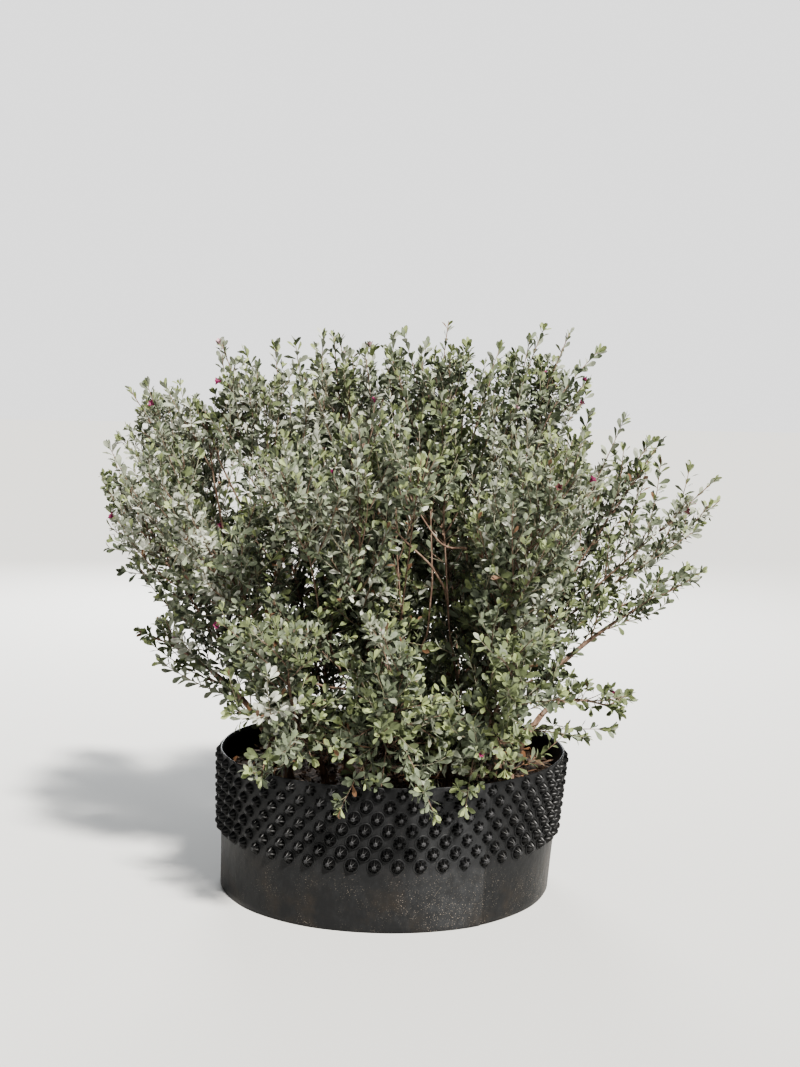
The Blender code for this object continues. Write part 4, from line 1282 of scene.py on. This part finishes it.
MOST_TRIANGLES = 180000      # in one piece
WOODY_SIDES = 5
GREEN_SIDES = 3
FELT_RANGE = (0.76, 1.24)    # how much darker and paler than its tint a leaf may be
leaf_points, leaf_faces = leaf_shape(LEAF_BEND)
leaves = np.concatenate(sprays.leaves)
for index, (name, tint) in enumerate(LEAF_TINTS.items()):
    felt = Finish("leaf_" + name, tint, 0.60, sheen_weight=0.08, sheen_roughness=0.5)
    dark, pale = (tuple(share * part for part in tint) for share in FELT_RANGE)
    felt.two_tone(felt.noise(75.0, 3.0), 0.30, 0.70, dark, pale)
    hairs = felt.noise(800.0, 2.0)
    felt.set("Roughness", 0.52 + 0.16 * hairs)
    felt.bump(hairs, 0.0002, 0.6)
    chosen = leaves[leaves[:, 10] == index]
    parts = max(1, math.ceil(len(chosen) * len(leaf_faces) / MOST_TRIANGLES))
    for part, group in enumerate(np.array_split(chosen, parts)):
        points = scatter(leaf_points, group[:, 0:3], group[:, 3:6], group[:, 6:9], group[:, 9])
        mesh_object(f"leaves_{name}_{part}", points,
                    repeat_faces(leaf_faces, len(group), len(leaf_points)), felt.material,
                    slot="foliage")


def twig_piece(name, lines, sides, material):
    """Many twigs as one piece, or as several where one would be too large."""
    grids = [tube(line, radii, sides) for line, radii in lines]
    sizes = np.cumsum([0] + [2 * len(quads) + len(ends) for _, quads, ends in grids])
    parts = max(1, math.ceil(sizes[-1] / MOST_TRIANGLES))
    made = []
    for part in range(parts):
        points, quads, ends, base = [], [], [], 0
        for number, (grid, quad, end) in enumerate(grids):
            if int(sizes[number] * parts / sizes[-1]) == part:
                points.append(grid)
                quads.append(quad + base)
                ends.append(end + base)
                base += len(grid)
        faces = [np.concatenate(quads), np.concatenate(ends)]
        made.append(mesh_object(f"{name}_{part}", np.concatenate(points), faces, material, "bark"))
    return made


woody_bark = Finish("twig_bark", (0.165, 0.105, 0.075), 0.8)
scars = woody_bark.noise(180.0, 4.0, 0.6, (1, 1, 0.4))
woody_bark.two_tone(scars, 0.35, 0.70, (0.110, 0.066, 0.047), (0.250, 0.175, 0.130))
woody_bark.bump(scars, 0.0005, 0.6)
green_bark = Finish("young_twig_bark", (0.240, 0.225, 0.160), 0.7)
green_bark.two_tone(green_bark.noise(60.0), 0.35, 0.70,
                    (0.170, 0.140, 0.095), (0.300, 0.290, 0.215))
woody_twigs = twig_piece("woody_twigs", sprays.woody, WOODY_SIDES, woody_bark.material)
twig_piece("green_twigs", sprays.green, GREEN_SIDES, green_bark.material)
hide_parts(*["foliage_" + mass for mass in FOLIAGE])

# Blossoms. The flowering is nearly over: a few small crumpled funnels with five lobes are left
# near the shoots' ends, magenta outside and paler inside, and some have dried to a red brown.

BLOSSOM_LENGTH = 0.0105
BLOSSOM_RANGE = (0.8, 1.15)
BLOSSOM_GAP = 0.004
BLOSSOM_SCATTER = 0.35
BLOSSOM_IN_BOX = 0.008
CROWN_CENTRE = (0.03, 0.0, 0.45)
LOBES = 5
LOBE_POINTS = 4
LOBE_CURVE = 0.7
LOBE_REACH = 0.06        # how far the lobes stand out over the bell's edge
CRUMPLE = 0.05
# The rings of a blossom: how far along, half the width, and how deep it is cut between its lobes
BLOSSOM_RINGS = ((0.0, 0.07, 0.0), (0.30, 0.17, 0.0), (0.65, 0.34, 0.10), (0.88, 0.58, 0.40))
BLOSSOMS_ALL_ROUND = 34
BLOSSOM_TINTS = {
    "magenta": (0.180, 0.012, 0.070),
    "pink": (0.560, 0.360, 0.410),
    "dried": (0.120, 0.038, 0.042),
}
KIND_SHARES = (0.5, 0.3, 0.2)
# Blossoms that show from the front, as x and z
FRONT_BLOSSOMS = (
    (-0.086, 0.780), (-0.069, 0.787), (-0.016, 0.902), (-0.066, 0.929), (0.227, 0.882),
    (0.349, 0.899), (0.294, 0.639), (0.361, 0.754), (0.533, 0.671), (0.503, 0.684),
    (0.250, 0.735), (0.345, 0.580),
)
FRONT_DEPTH = 0.40       # the tips nearest to the front are taken first
DEPTH_WEIGHT = 0.15


def blossom_shape():
    """Points (across, along, up) and faces of one blossom, a unit long: throat, bell and lobes."""
    around = LOBES * LOBE_POINTS
    turn = math.tau * np.arange(around) / around
    lobe = np.abs(np.sin(LOBES * turn / 2)) ** LOBE_CURVE
    rings = []
    for along, wide, scallop in BLOSSOM_RINGS:
        radius = wide * (1.0 - scallop * (1.0 - lobe))
        crumple = CRUMPLE * wide * np.sin(3 * turn + 9 * along)
        rings.append(np.stack([radius * np.cos(turn), along + crumple + LOBE_REACH * scallop * lobe,
                               radius * np.sin(turn)], axis=-1))
    return np.concatenate(rings), grid_faces(len(rings), around)


dice = np.random.default_rng(900)
shoot_tips = np.array(sprays.tips)
chosen = set(dice.choice(len(shoot_tips), BLOSSOMS_ALL_ROUND, replace=False))
for x, z in FRONT_BLOSSOMS:
    off = np.hypot(shoot_tips[:, 0] - x, shoot_tips[:, 2] - z)
    off = off + DEPTH_WEIGHT * (shoot_tips[:, 1] + FRONT_DEPTH)
    chosen.add(off.argmin())
chosen = np.array(sorted(chosen))
outward = unit(shoot_tips[chosen] - CROWN_CENTRE)
blossom_roots = shoot_tips[chosen] + outward * BLOSSOM_GAP
blossom_ways = unit(outward + dice.normal(0.0, BLOSSOM_SCATTER, outward.shape))
blossom_sizes = BLOSSOM_LENGTH * dice.uniform(*BLOSSOM_RANGE, len(chosen))
inside = in_the_box(blossom_roots + blossom_ways * blossom_sizes[:, None], BLOSSOM_IN_BOX)
blossom_points, blossom_faces = blossom_shape()
kinds = dice.choice(len(BLOSSOM_TINTS), len(chosen), p=KIND_SHARES)
for index, (name, tint) in enumerate(BLOSSOM_TINTS.items()):
    petal_finish = Finish("blossom_" + name, tint, 0.65, sheen_weight=0.05)
    group = np.flatnonzero((kinds == index) & inside)
    points = scatter(blossom_points, blossom_roots[group], blossom_ways[group],
                     unit(dice.normal(size=(len(group), 3))), blossom_sizes[group])
    faces = repeat_faces(blossom_faces, len(group), len(blossom_points))
    mesh_object("blossoms_" + name, points, faces, petal_finish.material, slot="foliage")

# The floor, the lights and the camera, which aren't part of the plant. Light comes from a clear
# high sun behind the camera's right shoulder and from a pale sky all round, and the camera sees
# a plain white backdrop.

FLOOR_CORNERS = ((-30, -30, 0), (30, -30, 0), (30, 30, 0), (-30, 30, 0))
SKY_COLOUR = (0.95, 0.97, 1.0, 1.0)
SKY_STRENGTH = 0.36
BACKDROP_COLOUR = (1.0, 1.0, 1.0, 1.0)
BACKDROP_STRENGTH = 1.35
BACK_PLACE = (-0.6, 4.2, 2.2)
BACK_TARGET = (0.0, 0.0, 0.5)
BACK_SIZE = 1.5
BACK_POWER = 150.0
BACK_COLOUR = (0.96, 0.98, 1.0)
SUN_WAY = (-0.293, 0.601, -0.743)
SUN_POWER = 8.8
SUN_COLOUR = (1.0, 0.97, 0.91)
SUN_WIDTH = math.radians(6)
CAMERA_PLACE = (0.019, -2.80, 0.892)
CAMERA_PITCH = math.radians(5.43)
CAMERA_ROLL = math.radians(0.97)
FOCAL_PIXELS = 1587.0
PHOTO_HEIGHT = 1067.0
SENSOR = 36.0

floor_finish = Finish("pale_floor", (0.60, 0.60, 0.59), 0.9)
floor_mesh = bpy.data.meshes.new("floor")
floor_mesh.from_pydata(FLOOR_CORNERS, [], [(0, 1, 2, 3)])
floor_mesh.materials.append(floor_finish.material)
scene_object("floor", floor_mesh)

world = bpy.data.worlds.new("studio")
world.use_nodes = True
world_tree = world.node_tree
sky = world_tree.nodes["Background"]
sky.inputs["Color"].default_value = SKY_COLOUR
sky.inputs["Strength"].default_value = SKY_STRENGTH
backdrop = world_tree.nodes.new("ShaderNodeBackground")
backdrop.inputs["Color"].default_value = BACKDROP_COLOUR
backdrop.inputs["Strength"].default_value = BACKDROP_STRENGTH
seen = world_tree.nodes.new("ShaderNodeLightPath")
either = world_tree.nodes.new("ShaderNodeMixShader")
world_tree.links.new(seen.outputs["Is Camera Ray"], either.inputs[0])
world_tree.links.new(sky.outputs[0], either.inputs[1])
world_tree.links.new(backdrop.outputs[0], either.inputs[2])
world_tree.links.new(either.outputs[0], world_tree.nodes["World Output"].inputs["Surface"])
bpy.context.scene.world = world
bpy.context.scene.view_settings.look = "AgX - Medium High Contrast"


def light(name, kind, way, power, colour):
    """A lamp that shines one way."""
    data = bpy.data.lights.new(name, kind)
    data.energy = power
    data.color = colour
    lamp = scene_object(name, data)
    lamp.rotation_mode = "QUATERNION"
    lamp.rotation_quaternion = Vector(way).to_track_quat("-Z", "Y")
    return lamp


back_way = Vector(BACK_TARGET) - Vector(BACK_PLACE)
back_light = light("back", "AREA", back_way, BACK_POWER, BACK_COLOUR)
back_light.location = BACK_PLACE
back_light.data.size = BACK_SIZE
sun = light("key", "SUN", SUN_WAY, SUN_POWER, SUN_COLOUR)
sun.data.angle = SUN_WIDTH

camera_data = bpy.data.cameras.new("camera")
camera_data.sensor_width = SENSOR
camera_data.lens = SENSOR * FOCAL_PIXELS / PHOTO_HEIGHT
camera = scene_object("camera", camera_data)
camera.matrix_world = (Matrix.Translation(CAMERA_PLACE)
                       @ Matrix.Rotation(math.pi / 2 - CAMERA_PITCH, 4, "X")
                       @ Matrix.Rotation(CAMERA_ROLL, 4, "Z"))
bpy.context.scene.camera = camera
